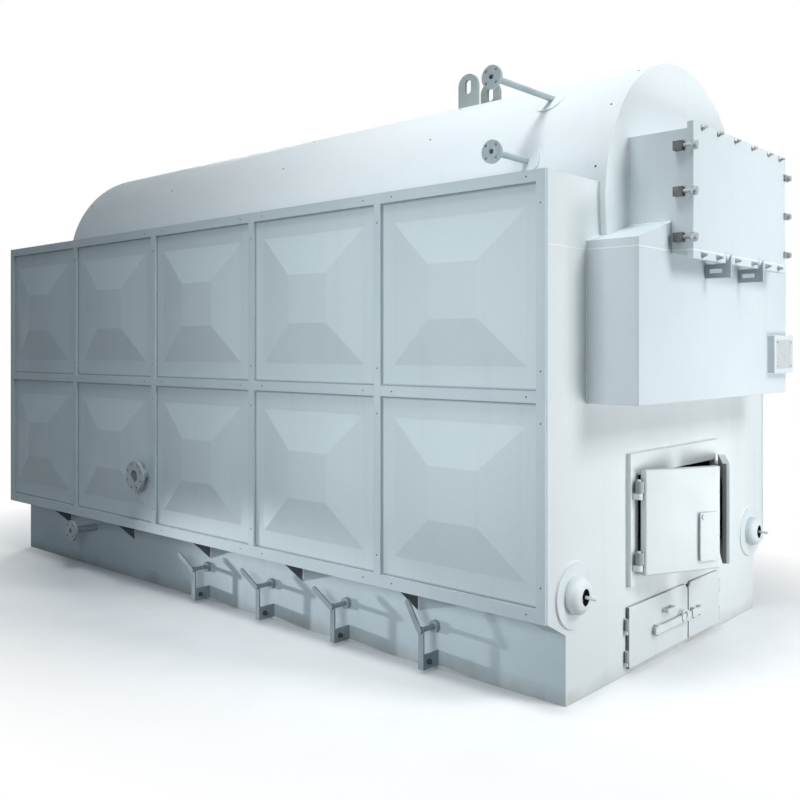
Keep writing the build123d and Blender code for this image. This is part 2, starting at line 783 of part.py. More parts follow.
def door_frame():
    half = FRAME_WIDTH / 2
    frame = block(-half, half, front_y - FRAME_THICKNESS, front_y, FRAME_BOTTOM, FRAME_TOP)
    frame -= block(
        -doorway_half,
        doorway_half,
        front_y - FRAME_THICKNESS,
        front_y,
        FIRING_SILL,
        FIRING_HEAD,
    )
    pintles = []
    for share in KNUCKLE_PLACES_SHARES:
        lug_top = knuckle_floor(share) - FIT_GAP
        lug_low = lug_top - HINGE_LUG_HEIGHT
        pintle = block(
            leaf_axis_x - KNUCKLE_RADIUS,
            leaf_axis_x + KNUCKLE_RADIUS,
            leaf_axis_y,
            front_y - FRAME_THICKNESS,
            lug_low,
            lug_top,
        )
        pintle += rod((leaf_axis_x, leaf_axis_y, lug_low), (0, 0, 1), KNUCKLE_RADIUS, HINGE_LUG_HEIGHT)
        pin_length = HINGE_LUG_HEIGHT + KNUCKLE_HEIGHT + HINGE_PIN_TAIL
        pintle += rod((leaf_axis_x, leaf_axis_y, lug_low), (0, 0, 1), HINGE_PIN_RADIUS, pin_length)
        pintles += both_sides(pintle)
    save("firing_door_frame", [frame])
    save("firing_door_pintles", pintles)


def firing_leaf():
    """Left leaf, shut, with a heat shield on pins behind it."""
    free_edge = -LEAF_MEETING_GAP / 2
    leaf = block(leaf_edge, free_edge, leaf_front, leaf_back, leaf_low, leaf_high)
    leaf = fillet(leaf.faces().sort_by(Axis.Y)[0].edges(), LEAF_EDGE_ROUND)
    left = -doorway_half + SHIELD_INSET
    right = free_edge - SHIELD_INSET
    low = FIRING_SILL + SHIELD_INSET
    high = FIRING_HEAD - SHIELD_INSET
    leaf += block(left, right, shield_front, shield_front + SHIELD_THICKNESS, low, high)
    for x in (left + SHIELD_PIN_INSET, right - SHIELD_PIN_INSET):
        for z in (low + SHIELD_PIN_INSET, high - SHIELD_PIN_INSET):
            leaf += rod((x, leaf_back, z), (0, 1, 0), SHIELD_PIN_RADIUS, SHIELD_STANDOFF)
    for share in KNUCKLE_PLACES_SHARES:
        low = knuckle_floor(share)
        leaf += rod((leaf_axis_x, leaf_axis_y, low), (0, 0, 1), KNUCKLE_RADIUS, KNUCKLE_HEIGHT)
        leaf += block(
            leaf_axis_x,
            leaf_edge,
            leaf_axis_y - KNUCKLE_ARM / 2,
            leaf_axis_y + KNUCKLE_ARM / 2,
            low,
            low + KNUCKLE_HEIGHT,
        )
        leaf -= rod((leaf_axis_x, leaf_axis_y, low), (0, 0, 1), HINGE_PIN_RADIUS + FIT_GAP, KNUCKLE_HEIGHT)
    return leaf


# Peephole cover, hung on a shouldered pin near its upper corner
cover_right = -LEAF_MEETING_GAP / 2 - COVER_PLATE_EDGE
cover_left = cover_right - COVER_PLATE_WIDTH
cover_low = leaf_low + COVER_PLATE_FOOT
cover_high = cover_low + COVER_PLATE_HEIGHT
cover_pivot_x = cover_left + COVER_PIVOT_INSET
cover_pivot_z = cover_high - COVER_PIVOT_INSET
cover_back = leaf_front - COVER_STANDOFF
cover_face = cover_back - COVER_PLATE


def peephole_pin():
    boss = rod(
        (cover_pivot_x, cover_back + FIT_GAP, cover_pivot_z),
        (0, 1, 0),
        COVER_BOSS_RADIUS,
        leaf_front - cover_back - FIT_GAP,
    )
    pin = rod(
        (cover_pivot_x, cover_face - FIT_GAP, cover_pivot_z),
        (0, 1, 0),
        COVER_PIVOT_RADIUS,
        leaf_front - cover_face + FIT_GAP,
    )
    head = rod(
        (cover_pivot_x, cover_face - FIT_GAP - COVER_HEAD, cover_pivot_z),
        (0, 1, 0),
        COVER_BOSS_RADIUS,
        COVER_HEAD,
    )
    return boss + pin + head


def peephole_cover():
    plate = block(cover_left, cover_right, cover_face, cover_back, cover_low, cover_high)
    plate = fillet(plate.edges().filter_by(Axis.Y), COVER_CORNER)
    hole = rod(
        (cover_pivot_x, cover_face, cover_pivot_z),
        (0, 1, 0),
        COVER_PIVOT_RADIUS + FIT_GAP,
        COVER_PLATE,
    )
    return plate - hole


def swung(shape, angle):
    """Turn a left-hand piece about the left hinge axis, opening away from the wall."""
    hinge = Axis((leaf_axis_x, leaf_axis_y, 0), (0, 0, -1))
    return shape.rotate(hinge, angle)


def firing_doors():
    left = firing_leaf()
    peephole = rod(
        ((cover_left + cover_right) / 2, leaf_front, (cover_low + cover_high) / 2),
        (0, 1, 0),
        PEEPHOLE_RADIUS,
        LEAF_THICKNESS + SHIELD_STANDOFF + SHIELD_THICKNESS,
    )
    save("firing_door_left", [swung(left - peephole + peephole_pin(), LEAF_AJAR_ANGLE)])
    save("firing_door_right", [mirrored(swung(left, LEAF_AJAR_ANGLE))])
    save("peephole_cover", [swung(peephole_cover(), LEAF_AJAR_ANGLE)])


# Ash door: two leaves of unequal width, shut
ash_axis_x = -doorway_half - ASH_SIDE_LAP - ASH_KNUCKLE_RADIUS - ASH_KNUCKLE_EDGE_GAP
ash_axis_y = front_y - ASH_SEAL_GAP - ASH_LEAF_THICKNESS / 2
ash_leaf_low = ASH_SILL - ASH_LEAF_LAP
ash_leaf_high = ASH_HEAD + ASH_LEAF_LAP
ash_middle = (ash_leaf_low + ash_leaf_high) / 2


def ash_knuckle_floor(share):
    return ash_leaf_low + (ash_leaf_high - ash_leaf_low) * share - ASH_KNUCKLE_HEIGHT / 2


def ash_leaf(free_edge):
    """Leaf hinged on the left that reaches to a free edge."""
    edge = ash_axis_x + ASH_KNUCKLE_RADIUS + ASH_KNUCKLE_EDGE_GAP
    front = ash_axis_y - ASH_LEAF_THICKNESS / 2
    outline = [
        (edge, front, ash_leaf_low),
        (free_edge, front, ash_leaf_low),
        (free_edge, front, ash_leaf_high - ASH_CORNER_CUT),
        (free_edge - ASH_CORNER_CUT, front, ash_leaf_high),
        (edge, front, ash_leaf_high),
    ]
    leaf = prism(outline, (0, 1, 0), ASH_LEAF_THICKNESS)
    for share in ASH_KNUCKLE_PLACES_SHARES:
        low = ash_knuckle_floor(share)
        leaf += rod((ash_axis_x, ash_axis_y, low), (0, 0, 1), ASH_KNUCKLE_RADIUS, ASH_KNUCKLE_HEIGHT)
        leaf += block(
            ash_axis_x,
            edge,
            ash_axis_y - ASH_LEAF_THICKNESS / 2,
            ash_axis_y + ASH_LEAF_THICKNESS / 2,
            low,
            low + ASH_KNUCKLE_HEIGHT,
        )
        leaf -= rod((ash_axis_x, ash_axis_y, low), (0, 0, 1), ASH_PIN_RADIUS + FIT_GAP, ASH_KNUCKLE_HEIGHT)
    return leaf


def draw_bar(free_edge, length):
    """Flat bar that lies across the front of a leaf in two staples, up to its free edge."""
    front = ash_axis_y - ASH_LEAF_THICKNESS / 2
    back = front - ASH_BAR_STANDOFF
    face = back - ASH_BAR_THICKNESS
    middle = ash_middle - ASH_BAR_DROP
    left = free_edge - length
    bar = block(left, free_edge, face, back, middle - ASH_BAR_HEIGHT / 2, middle + ASH_BAR_HEIGHT / 2)
    low = middle - ASH_STAPLE_HEIGHT / 2
    for x in (left + ASH_STAPLE_INSET, free_edge - ASH_STAPLE_INSET - ASH_STAPLE_WIDTH):
        bar += block(x, x + ASH_STAPLE_WIDTH, face, front, low, low + ASH_STAPLE_HEIGHT)
    return bar


def ash_handle(free_edge):
    front = ash_axis_y - ASH_LEAF_THICKNESS / 2
    grip = front - ASH_HANDLE_STANDOFF
    right = free_edge - ASH_HANDLE_EDGE
    left = right - ASH_HANDLE_WIDTH
    low = ash_middle + ASH_HANDLE_RISE
    high = low + ASH_HANDLE_HEIGHT
    handle = block(left, right, grip, grip + ASH_HANDLE_BAR, low, high)
    handle += block(left, left + ASH_HANDLE_BAR, grip, front, low, high)
    return handle + block(right - ASH_HANDLE_BAR, right, grip, front, low, high)


def pull_ring(free_edge):
    face = ash_axis_y - ASH_LEAF_THICKNESS / 2 - ASH_BAR_STANDOFF - ASH_BAR_THICKNESS
    centre = (free_edge - ASH_RING_EDGE, face - ASH_RING_WIRE / 2, ash_middle - ASH_BAR_DROP + ASH_RING_LIFT)
    return Plane(origin=centre, z_dir=(0, 1, 0)) * Torus(ASH_RING_RADIUS, ASH_RING_WIRE)


def ash_doors():
    left_edge = ASH_MEETING_PLACE - ASH_MEETING_GAP / 2
    right_edge = -ASH_MEETING_PLACE - ASH_MEETING_GAP / 2
    left = ash_leaf(left_edge) + draw_bar(left_edge, ASH_BAR_LENGTH)
    left += ash_handle(left_edge) + pull_ring(left_edge)
    right = ash_leaf(right_edge) + draw_bar(right_edge, ASH_BAR_KEEPER)
    save("ash_door_left", [left])
    save("ash_door_right", [mirrored(right)])
    pintles = []
    for share in ASH_KNUCKLE_PLACES_SHARES:
        lug_top = ash_knuckle_floor(share) - FIT_GAP
        lug_low = lug_top - ASH_LUG_HEIGHT
        pintle = block(
            ash_axis_x - ASH_KNUCKLE_RADIUS,
            ash_axis_x + ASH_KNUCKLE_RADIUS,
            ash_axis_y,
            front_y,
            lug_low,
            lug_top,
        )
        pintle += rod((ash_axis_x, ash_axis_y, lug_low), (0, 0, 1), ASH_KNUCKLE_RADIUS, ASH_LUG_HEIGHT)
        pin_length = ASH_LUG_HEIGHT + ASH_KNUCKLE_HEIGHT + ASH_PIN_TAIL
        pintle += rod((ash_axis_x, ash_axis_y, lug_low), (0, 0, 1), ASH_PIN_RADIUS, pin_length)
        pintles += both_sides(pintle)
    save("ash_door_pintles", pintles)


# Header ends with their handholes
def header_ends():
    x = -header_x
    nose_y = front_y - HEADER_REACH
    end = rod((x, nose_y, HEADER_HEIGHT), (0, 1, 0), HEADER_RADIUS, wall_back_y - nose_y)
    end = fillet(end.edges().group_by(Axis.Y)[0], HEADER_SHOULDER_ROUND)
    nose = Plane(origin=(x, nose_y, HEADER_HEIGHT), x_dir=(1, 0, 0), z_dir=(0, -1, 0))
    handhole = nose * Ellipse(HANDHOLE_WIDTH / 2, HANDHOLE_HEIGHT / 2)
    end -= extrude(handhole, amount=HANDHOLE_DEPTH, dir=(0, 1, 0))
    stud_start = (x, nose_y + HANDHOLE_DEPTH, HEADER_HEIGHT)
    end += rod(stud_start, (0, -1, 0), HANDHOLE_STUD_RADIUS, HANDHOLE_STUD + HANDHOLE_DEPTH)
    ring_start = (x, front_y - HEADER_RING, HEADER_HEIGHT)
    ring = rod(ring_start, (0, 1, 0), HEADER_RING_RADIUS, HEADER_RING)
    ring -= rod(ring_start, (0, 1, 0), HEADER_RADIUS + FIT_GAP, HEADER_RING)
    save("header_ends", both_sides(end))
    save("header_rings", both_sides(ring))


# Flanged nozzles on the casing sides and drains under them
def nozzles():
    face = (-CASING_WIDTH / 2 - NOZZLE_REACH, front_y + NOZZLE_PLACE, NOZZLE_HEIGHT)
    length = NOZZLE_REACH + CASING_WIDTH / 2 - wall_half + NOZZLE_ROOT
    nozzle = flanged_pipe(
        face,
        (1, 0, 0),
        length,
        NOZZLE_PIPE_RADIUS,
        NOZZLE_BORE,
        NOZZLE_FLANGE_RADIUS,
        NOZZLE_FLANGE,
        NOZZLE_BOLT_CIRCLE,
        NOZZLE_BOLTS,
        NOZZLE_BOLT_RADIUS,
        NOZZLE_ROOT / 2,
    )
    save("side_nozzles", both_sides(nozzle))
    face = (-base_half - DRAIN_REACH, front_y + DRAIN_PLACE, DRAIN_HEIGHT)
    drain = flanged_pipe(
        face,
        (1, 0, 0),
        DRAIN_REACH + BASE_WEB + DRAIN_ROOT,
        DRAIN_PIPE_RADIUS,
        DRAIN_BORE,
        DRAIN_FLANGE_RADIUS,
        DRAIN_FLANGE,
        DRAIN_BOLT_CIRCLE,
        DRAIN_BOLTS,
        DRAIN_BOLT_RADIUS,
        DRAIN_ROOT,
    )
    save("drain_pipes", both_sides(drain))


# Air damper handles: a shaft through the base, an outer post and a turning handle
def damper_y(number):
    return front_y + DAMPER_FIRST + number * DAMPER_PITCH


def dampers():
    collars = []
    posts = []
    post_face = -base_half - DAMPER_POST_REACH
    post_outside = post_face - DAMPER_POST
    handle_face = post_outside - DAMPER_HANDLE_GAP
    handle_outside = handle_face - DAMPER_HANDLE
    z = DAMPER_SHAFT_HEIGHT
    hole = DAMPER_SHAFT_RADIUS + FIT_GAP
    for number, setting in enumerate(DAMPER_ANGLES):
        y = damper_y(number)
        collar_start = (-base_half - DAMPER_COLLAR, y, z)
        collar = rod(collar_start, (1, 0, 0), DAMPER_COLLAR_RADIUS, DAMPER_COLLAR)
        collars.append(collar - rod(collar_start, (1, 0, 0), hole, DAMPER_COLLAR))
        post = block(
            post_outside,
            post_face,
            y - DAMPER_POST_WIDTH / 2,
            y + DAMPER_POST_WIDTH / 2,
            DAMPER_POST_FOOT,
            z,
        )
        post += rod((post_outside, y, z), (1, 0, 0), DAMPER_POST_WIDTH / 2, DAMPER_POST)
        post += block(
            post_face,
            -base_half,
            y - DAMPER_POST_WIDTH / 2,
            y - DAMPER_POST_WIDTH / 2 + DAMPER_POST,
            DAMPER_POST_FOOT,
            DAMPER_POST_FOOT + DAMPER_BRACKET_HEIGHT,
        )
        posts.append(post - rod((post_outside, y, z), (1, 0, 0), hole, DAMPER_POST))
        shaft_length = -base_half + BASE_WEB + DAMPER_SHAFT_ROOT - handle_outside
        handle = block(
            handle_outside,
            handle_face,
            y - DAMPER_HANDLE_WIDTH / 2,
            y + DAMPER_HANDLE_WIDTH / 2,
            z,
            z + DAMPER_HANDLE_LENGTH,
        )
        for end in (z, z + DAMPER_HANDLE_LENGTH):
            handle += rod((handle_outside, y, end), (1, 0, 0), DAMPER_HANDLE_WIDTH / 2, DAMPER_HANDLE)
        handle += rod((handle_outside, y, z), (1, 0, 0), DAMPER_SHAFT_RADIUS, shaft_length)
        turned = handle.rotate(Axis((0, y, z), (-1, 0, 0)), setting)
        save("damper_handle_" + str(number + 1), [turned])
    save("damper_collars", collars)
    save("damper_posts", posts)


os.makedirs("parts", exist_ok=True)
front_walls()
casing_walls()
base_frame()
grate()
casing_cladding()
drum()
lifting_lugs()
gauge_pipes()
smoke_box()
flue_hood()
door_frame()
firing_doors()
ash_doors()
header_ends()
nozzles()
dampers()
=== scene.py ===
# %% [markdown]
# # A package boiler
# The boiler is a lagged steam drum that lies on a panelled furnace casing. Its solid pieces come from the
# CAD frame, in metres, with the firing front towards -Y. This lesson gives them their paint, soot and wear,
# and adds the small hardware that a CAD model leaves out: screws, studs, nuts and weld beads.

# %% Load the frame
from math import cos, radians, sin

import bpy
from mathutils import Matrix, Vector


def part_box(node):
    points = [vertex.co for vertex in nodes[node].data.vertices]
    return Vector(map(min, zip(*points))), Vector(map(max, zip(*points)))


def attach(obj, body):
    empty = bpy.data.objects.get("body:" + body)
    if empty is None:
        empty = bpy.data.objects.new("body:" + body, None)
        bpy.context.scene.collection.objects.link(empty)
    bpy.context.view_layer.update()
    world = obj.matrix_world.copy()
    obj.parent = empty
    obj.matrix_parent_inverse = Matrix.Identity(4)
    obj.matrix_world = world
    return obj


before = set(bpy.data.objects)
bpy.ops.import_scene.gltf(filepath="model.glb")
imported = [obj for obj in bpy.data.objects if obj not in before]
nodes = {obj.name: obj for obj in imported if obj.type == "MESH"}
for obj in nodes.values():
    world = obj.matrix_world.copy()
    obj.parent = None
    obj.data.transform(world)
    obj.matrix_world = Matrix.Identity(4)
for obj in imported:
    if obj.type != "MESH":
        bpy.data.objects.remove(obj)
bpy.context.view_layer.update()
scene = bpy.context.scene
scene.view_settings.view_transform = "Standard"

# %% [markdown]
# ## The camera
# The picture is taken at eye height from the front left corner, and all uprights stand parallel in it. A
# camera tilted down would make them lean, so this one stays level and its frame is shifted down instead.

# %% Camera
eye = bpy.data.cameras.new("eye")
eye.sensor_width = 36.0
eye.lens = 41.8
eye.shift_y = -0.064
eye.clip_end = 200.0
camera = bpy.data.objects.new("camera", eye)
camera.location = (-4.675, -4.585, 1.609)
camera.rotation_euler = (radians(90.0), 0.0, radians(-47.89))
scene.collection.objects.link(camera)
scene.camera = camera
print("camera at", tuple(round(v, 2) for v in camera.location))

# %% [markdown]
# ## Node helpers
# Shader trees and geometry trees are wired the same way. Written out node by node, they would fill many
# pages, so one helper adds a node, sets its values and links its sockets. The others name the sums that
# masks are made of.


# %% Node helpers
def add(tree, kind, sockets=None, **settings):
    node = tree.nodes.new(kind)
    for key, value in settings.items():
        setattr(node, key, value)
    for key, value in (sockets or {}).items():
        if isinstance(value, bpy.types.NodeSocket):
            tree.links.new(value, node.inputs[key])
        else:
            node.inputs[key].default_value = value
    return node


def calc(tree, operation, first, second=0.0):
    return add(tree, "ShaderNodeMath", {0: first, 1: second}, operation=operation).outputs[0]


def distance(tree, value, middle=0.0):
    """How far a value lies from a middle, whichever side it is on."""
    return calc(tree, "ABSOLUTE", calc(tree, "SUBTRACT", value, middle) if middle else value)


def all_of(tree, first, *others):
    for other in others:
        first = calc(tree, "MULTIPLY", first, other)
    return first


def any_of(tree, first, *others):
    for other in others:
        first = calc(tree, "MAXIMUM", first, other)
    return first


def spread(tree, value, low, high, to_low=0.0, to_high=1.0):
    return add(tree, "ShaderNodeMapRange", {0: value, 1: low, 2: high, 3: to_low, 4: to_high}).outputs[0]


def split(tree, place):
    return add(tree, "ShaderNodeSeparateXYZ", {0: place}).outputs


def vector_sum(tree, operation, first, second=(0.0, 0.0, 0.0)):
    node = add(tree, "ShaderNodeVectorMath", {0: first, 1: second}, operation=operation)
    return node.outputs["Value" if operation in ("LENGTH", "DOT_PRODUCT") else "Vector"]


print("node helpers ready")

# %% [markdown]
# A finish always starts at the piece's own coordinates and ends in one shader. Image textures would need
# unwrapped pieces, so all patterns are noises in space, mixed into a colour, a roughness and a bump.


# %% Finish helpers
def rgb(red, green, blue):
    return (red, green, blue, 1.0)


def tint(tree, factor, first, second):
    return add(tree, "ShaderNodeMix", {0: factor, 6: first, 7: second}, data_type="RGBA").outputs[2]


def noise(tree, place, scale, detail=3.0, stretch=None):
    if stretch:
        place = add(tree, "ShaderNodeMapping", {0: place, "Scale": stretch}).outputs[0]
    return add(tree, "ShaderNodeTexNoise", {"Vector": place, "Scale": scale, "Detail": detail}).outputs[0]


def clouds(tree, place, scale, detail, low=0.3, high=0.7, to_low=0.0, to_high=1.0):
    """Noise with its middle range spread out."""
    return spread(tree, noise(tree, place, scale, detail), low, high, to_low, to_high)


def bump(tree, height, strength, depth, below=None):
    sockets = {"Height": height, "Strength": strength, "Distance": depth}
    if below:
        sockets["Normal"] = below
    return add(tree, "ShaderNodeBump", sockets).outputs[0]


def soft_edge(tree, radius):
    """Surface normal with the sharp edges of a sheet rounded off."""
    return add(tree, "ShaderNodeBevel", {"Radius": radius}, samples=4).outputs[0]


def start_finish(name):
    finish = bpy.data.materials.new(name)
    finish.use_nodes = True
    tree = finish.node_tree
    tree.nodes.clear()
    return finish, tree, add(tree, "ShaderNodeTexCoord").outputs["Object"]


def end_finish(tree, colour, roughness, normal, metallic=0.0, specular=0.5):
    sockets = {"Base Color": colour, "Roughness": roughness, "Metallic": metallic, "Normal": normal}
    sockets["Specular IOR Level"] = specular
    surface = add(tree, "ShaderNodeBsdfPrincipled", sockets)
    add(tree, "ShaderNodeOutputMaterial", {"Surface": surface.outputs[0]})


print("finish helpers ready")

# %% [markdown]
# ## Floor
# The boiler stands on a plain pale floor. Near the base the floor keeps a soft shadow, and further out it
# fades to the white of the backdrop. A white floor would also throw a lot of light up under the panels and
# flatten them, so only what is seen directly is white, and for bounced light the floor is a mid grey.

# %% Floor
floor_reach = 40.0
shadow_shape = (0.5, 0.32, 1.0)
fade_start, fade_end = 0.85, 1.5
bounce_share = 0.35
full_white = rgb(1.0, 1.0, 1.0)


def seen_directly(tree):
    path = add(tree, "ShaderNodeLightPath").outputs
    return any_of(tree, path["Is Glossy Ray"], path["Is Transmission Ray"], path["Is Camera Ray"])


floor_mesh = bpy.data.meshes.new("floor")
corners = [(x * floor_reach, y * floor_reach, 0) for x, y in ((-1, -1), (1, -1), (1, 1), (-1, 1))]
floor_mesh.from_pydata(corners, [], [(0, 1, 2, 3)])
floor = bpy.data.objects.new("floor", floor_mesh)
scene.collection.objects.link(floor)
floor_finish, tree, place = start_finish("pale_floor")
seen = seen_directly(tree)
around = add(tree, "ShaderNodeMapping", {0: place, "Scale": shadow_shape}).outputs[0]
fade = all_of(tree, spread(tree, vector_sum(tree, "LENGTH", around), fade_start, fade_end), seen)
speckle = clouds(tree, place, 3.0, 3.0, to_low=0.86, to_high=0.9)
tone = all_of(tree, speckle, spread(tree, seen, 0.0, 1.0, bounce_share, 1.0))
ground = add(tree, "ShaderNodeBsdfDiffuse", {"Color": tone}).outputs[0]
glow = add(tree, "ShaderNodeEmission", {"Color": full_white, "Strength": 1.0}).outputs[0]
mixed = add(tree, "ShaderNodeMixShader", {0: fade, 1: ground, 2: glow}).outputs[0]
add(tree, "ShaderNodeOutputMaterial", {"Surface": mixed})
floor_mesh.materials.append(floor_finish)
floor.location.z = -0.001
print("floor", 2 * floor_reach, "m wide")

# %% [markdown]
# ## Light
# The light is that of a bright hall. A dim, cool sky fills the shadows, brighter overhead than at the
# horizon. The backdrop itself is white, but only where it is seen, so that it doesn't light the boiler from
# all sides.

# %% Sky
sky_tint = rgb(0.60, 0.84, 1.0)
horizon_light, zenith_light = 0.04, 0.47
hall = bpy.data.worlds.new("hall")
hall.use_nodes = True
scene.world = hall
tree = hall.node_tree
tree.nodes.clear()
sight = add(tree, "ShaderNodeTexCoord").outputs["Generated"]
upward = calc(tree, "MAXIMUM", split(tree, sight)[2])
overhead = spread(tree, calc(tree, "POWER", upward, 2.0), 0.0, 1.0, horizon_light, zenith_light)
fill = add(tree, "ShaderNodeBackground", {"Color": sky_tint, "Strength": overhead}).outputs[0]
backdrop = add(tree, "ShaderNodeBackground", {"Color": full_white, "Strength": 1.0}).outputs[0]
sky = add(tree, "ShaderNodeMixShader", {0: seen_directly(tree), 1: fill, 2: backdrop}).outputs[0]
add(tree, "ShaderNodeOutputWorld", {"Surface": sky})
print("sky from", horizon_light, "to", zenith_light)

# %% [markdown]
# One sun would leave the front or the side in the dark, so broad lamps share the work. The side lamp stands
# near the front left corner, and its light falls off towards the rear. The front lamp lights the firing
# front, the step lamp its foot, and the top lamp the drum's crown. The rear lamp lets the far sides be seen
# too. A low beam from the rear left throws the dampers' shadows along the base.


# %% Lamps
def aim(lamp, place, target):
    holder = bpy.data.objects.new(lamp.name, lamp)
    holder.location = place
    holder.rotation_euler = (Vector(target) - Vector(place)).to_track_quat("-Z", "Y").to_euler()
    holder.visible_camera = False
    scene.collection.objects.link(holder)


def broad_lamp(name, watts, size, place, target, opening=180.0):
    lamp = bpy.data.lights.new(name, "AREA")
    lamp.size = size
    lamp.energy = watts
    lamp.spread = radians(opening)
    aim(lamp, place, target)


broad_lamp("side_lamp", 28.0, 1.5, (-4.6, -2.0, 1.9), (-1.2, -1.5, 1.35), opening=110.0)
broad_lamp("front_lamp", 133.0, 1.8, (0.1, -6.0, 4.2), (0.0, -2.3, 1.5))
broad_lamp("step_lamp", 78.0, 1.6, (0.5, -5.2, 0.4), (0.0, -2.3, 0.5))
broad_lamp("top_lamp", 73.0, 2.0, (-2.3, -1.9, 7.4), (-0.2, -1.2, 1.9), opening=100.0)
broad_lamp("rear_lamp", 300.0, 3.0, (5.0, 6.8, 4.6), (0.6, 1.0, 1.2))
low_beam = bpy.data.lights.new("low_beam", "SPOT")
low_beam.energy = 1500.0
low_beam.spot_size = radians(9.0)
low_beam.spot_blend = 0.7
low_beam.shadow_soft_size = 0.12
aim(low_beam, (-3.5, 6.0, 0.5), (-1.1, -0.7, 0.2))
print("lamps:", sorted(lamp.name for lamp in bpy.data.lights))

# %% [markdown]
# ## Inside of the furnace
# What faces the fire is sooty brick. The walls are single CAD pieces, painted outside and bricked inside,
# so the inside is found by its place: a box a little within the outer faces. The bricks are the Brick
# Texture node, laid along both walls at once by adding x and y.

# %% Inside of the furnace
furnace_half_width, furnace_front, furnace_rear, furnace_top = 1.0665, -2.3375, 2.6095, 2.3915


def inside_boiler(tree, place):
    """1 on faces that close in the furnace and the ash pit, 0 outside."""
    axes = split(tree, place)
    across = calc(tree, "LESS_THAN", distance(tree, axes[0]), furnace_half_width)
    behind_front = calc(tree, "GREATER_THAN", axes[1], furnace_front)
    before_rear = calc(tree, "LESS_THAN", axes[1], furnace_rear)
    under_deck = calc(tree, "LESS_THAN", axes[2], furnace_top)
    return all_of(tree, across, behind_front, before_rear, under_deck)


def sooty_brick(tree, place):
    axes = split(tree, place)
    course = add(tree, "ShaderNodeCombineXYZ", {0: calc(tree, "ADD", axes[0], axes[1]), 1: axes[2]}).outputs[0]
    tones = {1: rgb(0.10, 0.062, 0.042), 2: rgb(0.065, 0.045, 0.035), 3: rgb(0.03, 0.027, 0.025)}
    brick = add(tree, "ShaderNodeTexBrick", {0: course, "Scale": 4.2, "Mortar Size": 0.012} | tones).outputs[0]
    return tint(tree, clouds(tree, place, 2.2, 5.0, 0.35, 0.62), brick, rgb(0.016, 0.015, 0.014))


print("inside mask from x", furnace_half_width, "m")

# %% [markdown]
# ## Paint
# Every outer sheet has the same pale grey paint with a cool tint. On the real boiler it isn't even: broad
# clouds from the spray gun, fine orange peel, faint dust streaks that run down, and dirt thrown up along
# the foot. Each of these is one noise at its own scale, so the pattern runs on across the pieces. The steps
# below add what only some sheets have: a splashed foot, a joint line painted pale as a highlight, and
# painted shade beside the cover strips.

# %% Foot and seams
splash_height = 0.16
seam_core, seam_edge = 0.0012, 0.0032


def splashed_foot(tree, place, colour, strength):
    """Dust and a little rust along the lowest hand's breadth."""
    reach = spread(tree, split(tree, place)[2], 0.0, splash_height, 1.0, 0.0)
    patchy = calc(tree, "SUBTRACT", reach, noise(tree, place, 6.0, 5.0))
    dusty = all_of(tree, spread(tree, patchy, 0.0, 0.5), strength)
    colour = tint(tree, dusty, colour, rgb(0.30, 0.29, 0.26))
    rusty = all_of(tree, clouds(tree, place, 1.7, 6.0, 0.52, 0.66), dusty)
    return tint(tree, rusty, colour, rgb(0.24, 0.13, 0.07))


def seam_highlight(tree, place, colour, height):
    """A level joint between two sheets, painted pale as a highlight along it."""
    gap = distance(tree, split(tree, place)[2], height)
    line = spread(tree, gap, seam_core, seam_edge, 1.0, 0.0)
    # Painted highlight: the joint line is pale, as light catching its edge.
    return tint(tree, all_of(tree, line, 0.8), colour, rgb(0.84, 0.87, 0.875))


print("splashes up to", splash_height, "m")

# %% [markdown]
# The cover strips stand on a grid of five columns and three rails. Their places are known, so the painted
# shade beside them is a distance to the nearest strip, which is exact and needs no painting by hand. The
# piers reach down beside the base, and their outer sides were sprayed together with it.

# %% Strips and piers
front_end, rear_end = -2.339, 2.716
columns = 5
pitch_y = (rear_end - front_end) / columns
stile_width = 0.048
rail_heights = ((0.4315, 0.063), (1.395, 0.053), (2.3725, 0.055))
side_wall = 1.2
strip_shade_core, strip_shade_edge = 0.004, 0.014
pier_side, pier_front, pier_top = 1.0795, -2.3385, 0.3995
base_pale, base_deep = rgb(0.565, 0.675, 0.73), rgb(0.495, 0.605, 0.665)


def painted_strip_shade(tree, place, colour):
    """Painted shade: a dark line in the corner beside each cover strip."""
    axes = split(tree, place)
    column = calc(tree, "SUBTRACT", axes[1], front_end)
    aside = distance(tree, axes[0])
    gap = calc(tree, "SUBTRACT", calc(tree, "PINGPONG", column, pitch_y / 2), stile_width / 2)
    gap = calc(tree, "MAXIMUM", gap, calc(tree, "SUBTRACT", side_wall, aside))
    gap = calc(tree, "MINIMUM", gap, calc(tree, "SUBTRACT", aside, stile_width / 2))
    for middle_of_rail, width in rail_heights:
        off = distance(tree, axes[2], middle_of_rail)
        gap = calc(tree, "MINIMUM", gap, calc(tree, "SUBTRACT", off, width / 2))
    # Painted shade: the sheet is darkened along each strip's edges.
    return tint(tree, spread(tree, gap, strip_shade_core, strip_shade_edge, 0.75, 0.0), colour, rgb(0.15, 0.19, 0.205))


def pier_flank(tree, place, colour):
    """The piers' outer sides below the casing, in the mottled blue grey of the base."""
    axes = split(tree, place)
    outer = calc(tree, "GREATER_THAN", distance(tree, axes[0]), pier_side)
    behind = calc(tree, "GREATER_THAN", axes[1], pier_front)
    below = calc(tree, "LESS_THAN", axes[2], pier_top)
    base_tone = tint(tree, clouds(tree, place, 1.6, 5.0), base_deep, base_pale)
    return tint(tree, all_of(tree, outer, behind, below), colour, base_tone)


print("column pitch", round(pitch_y, 3), "m")


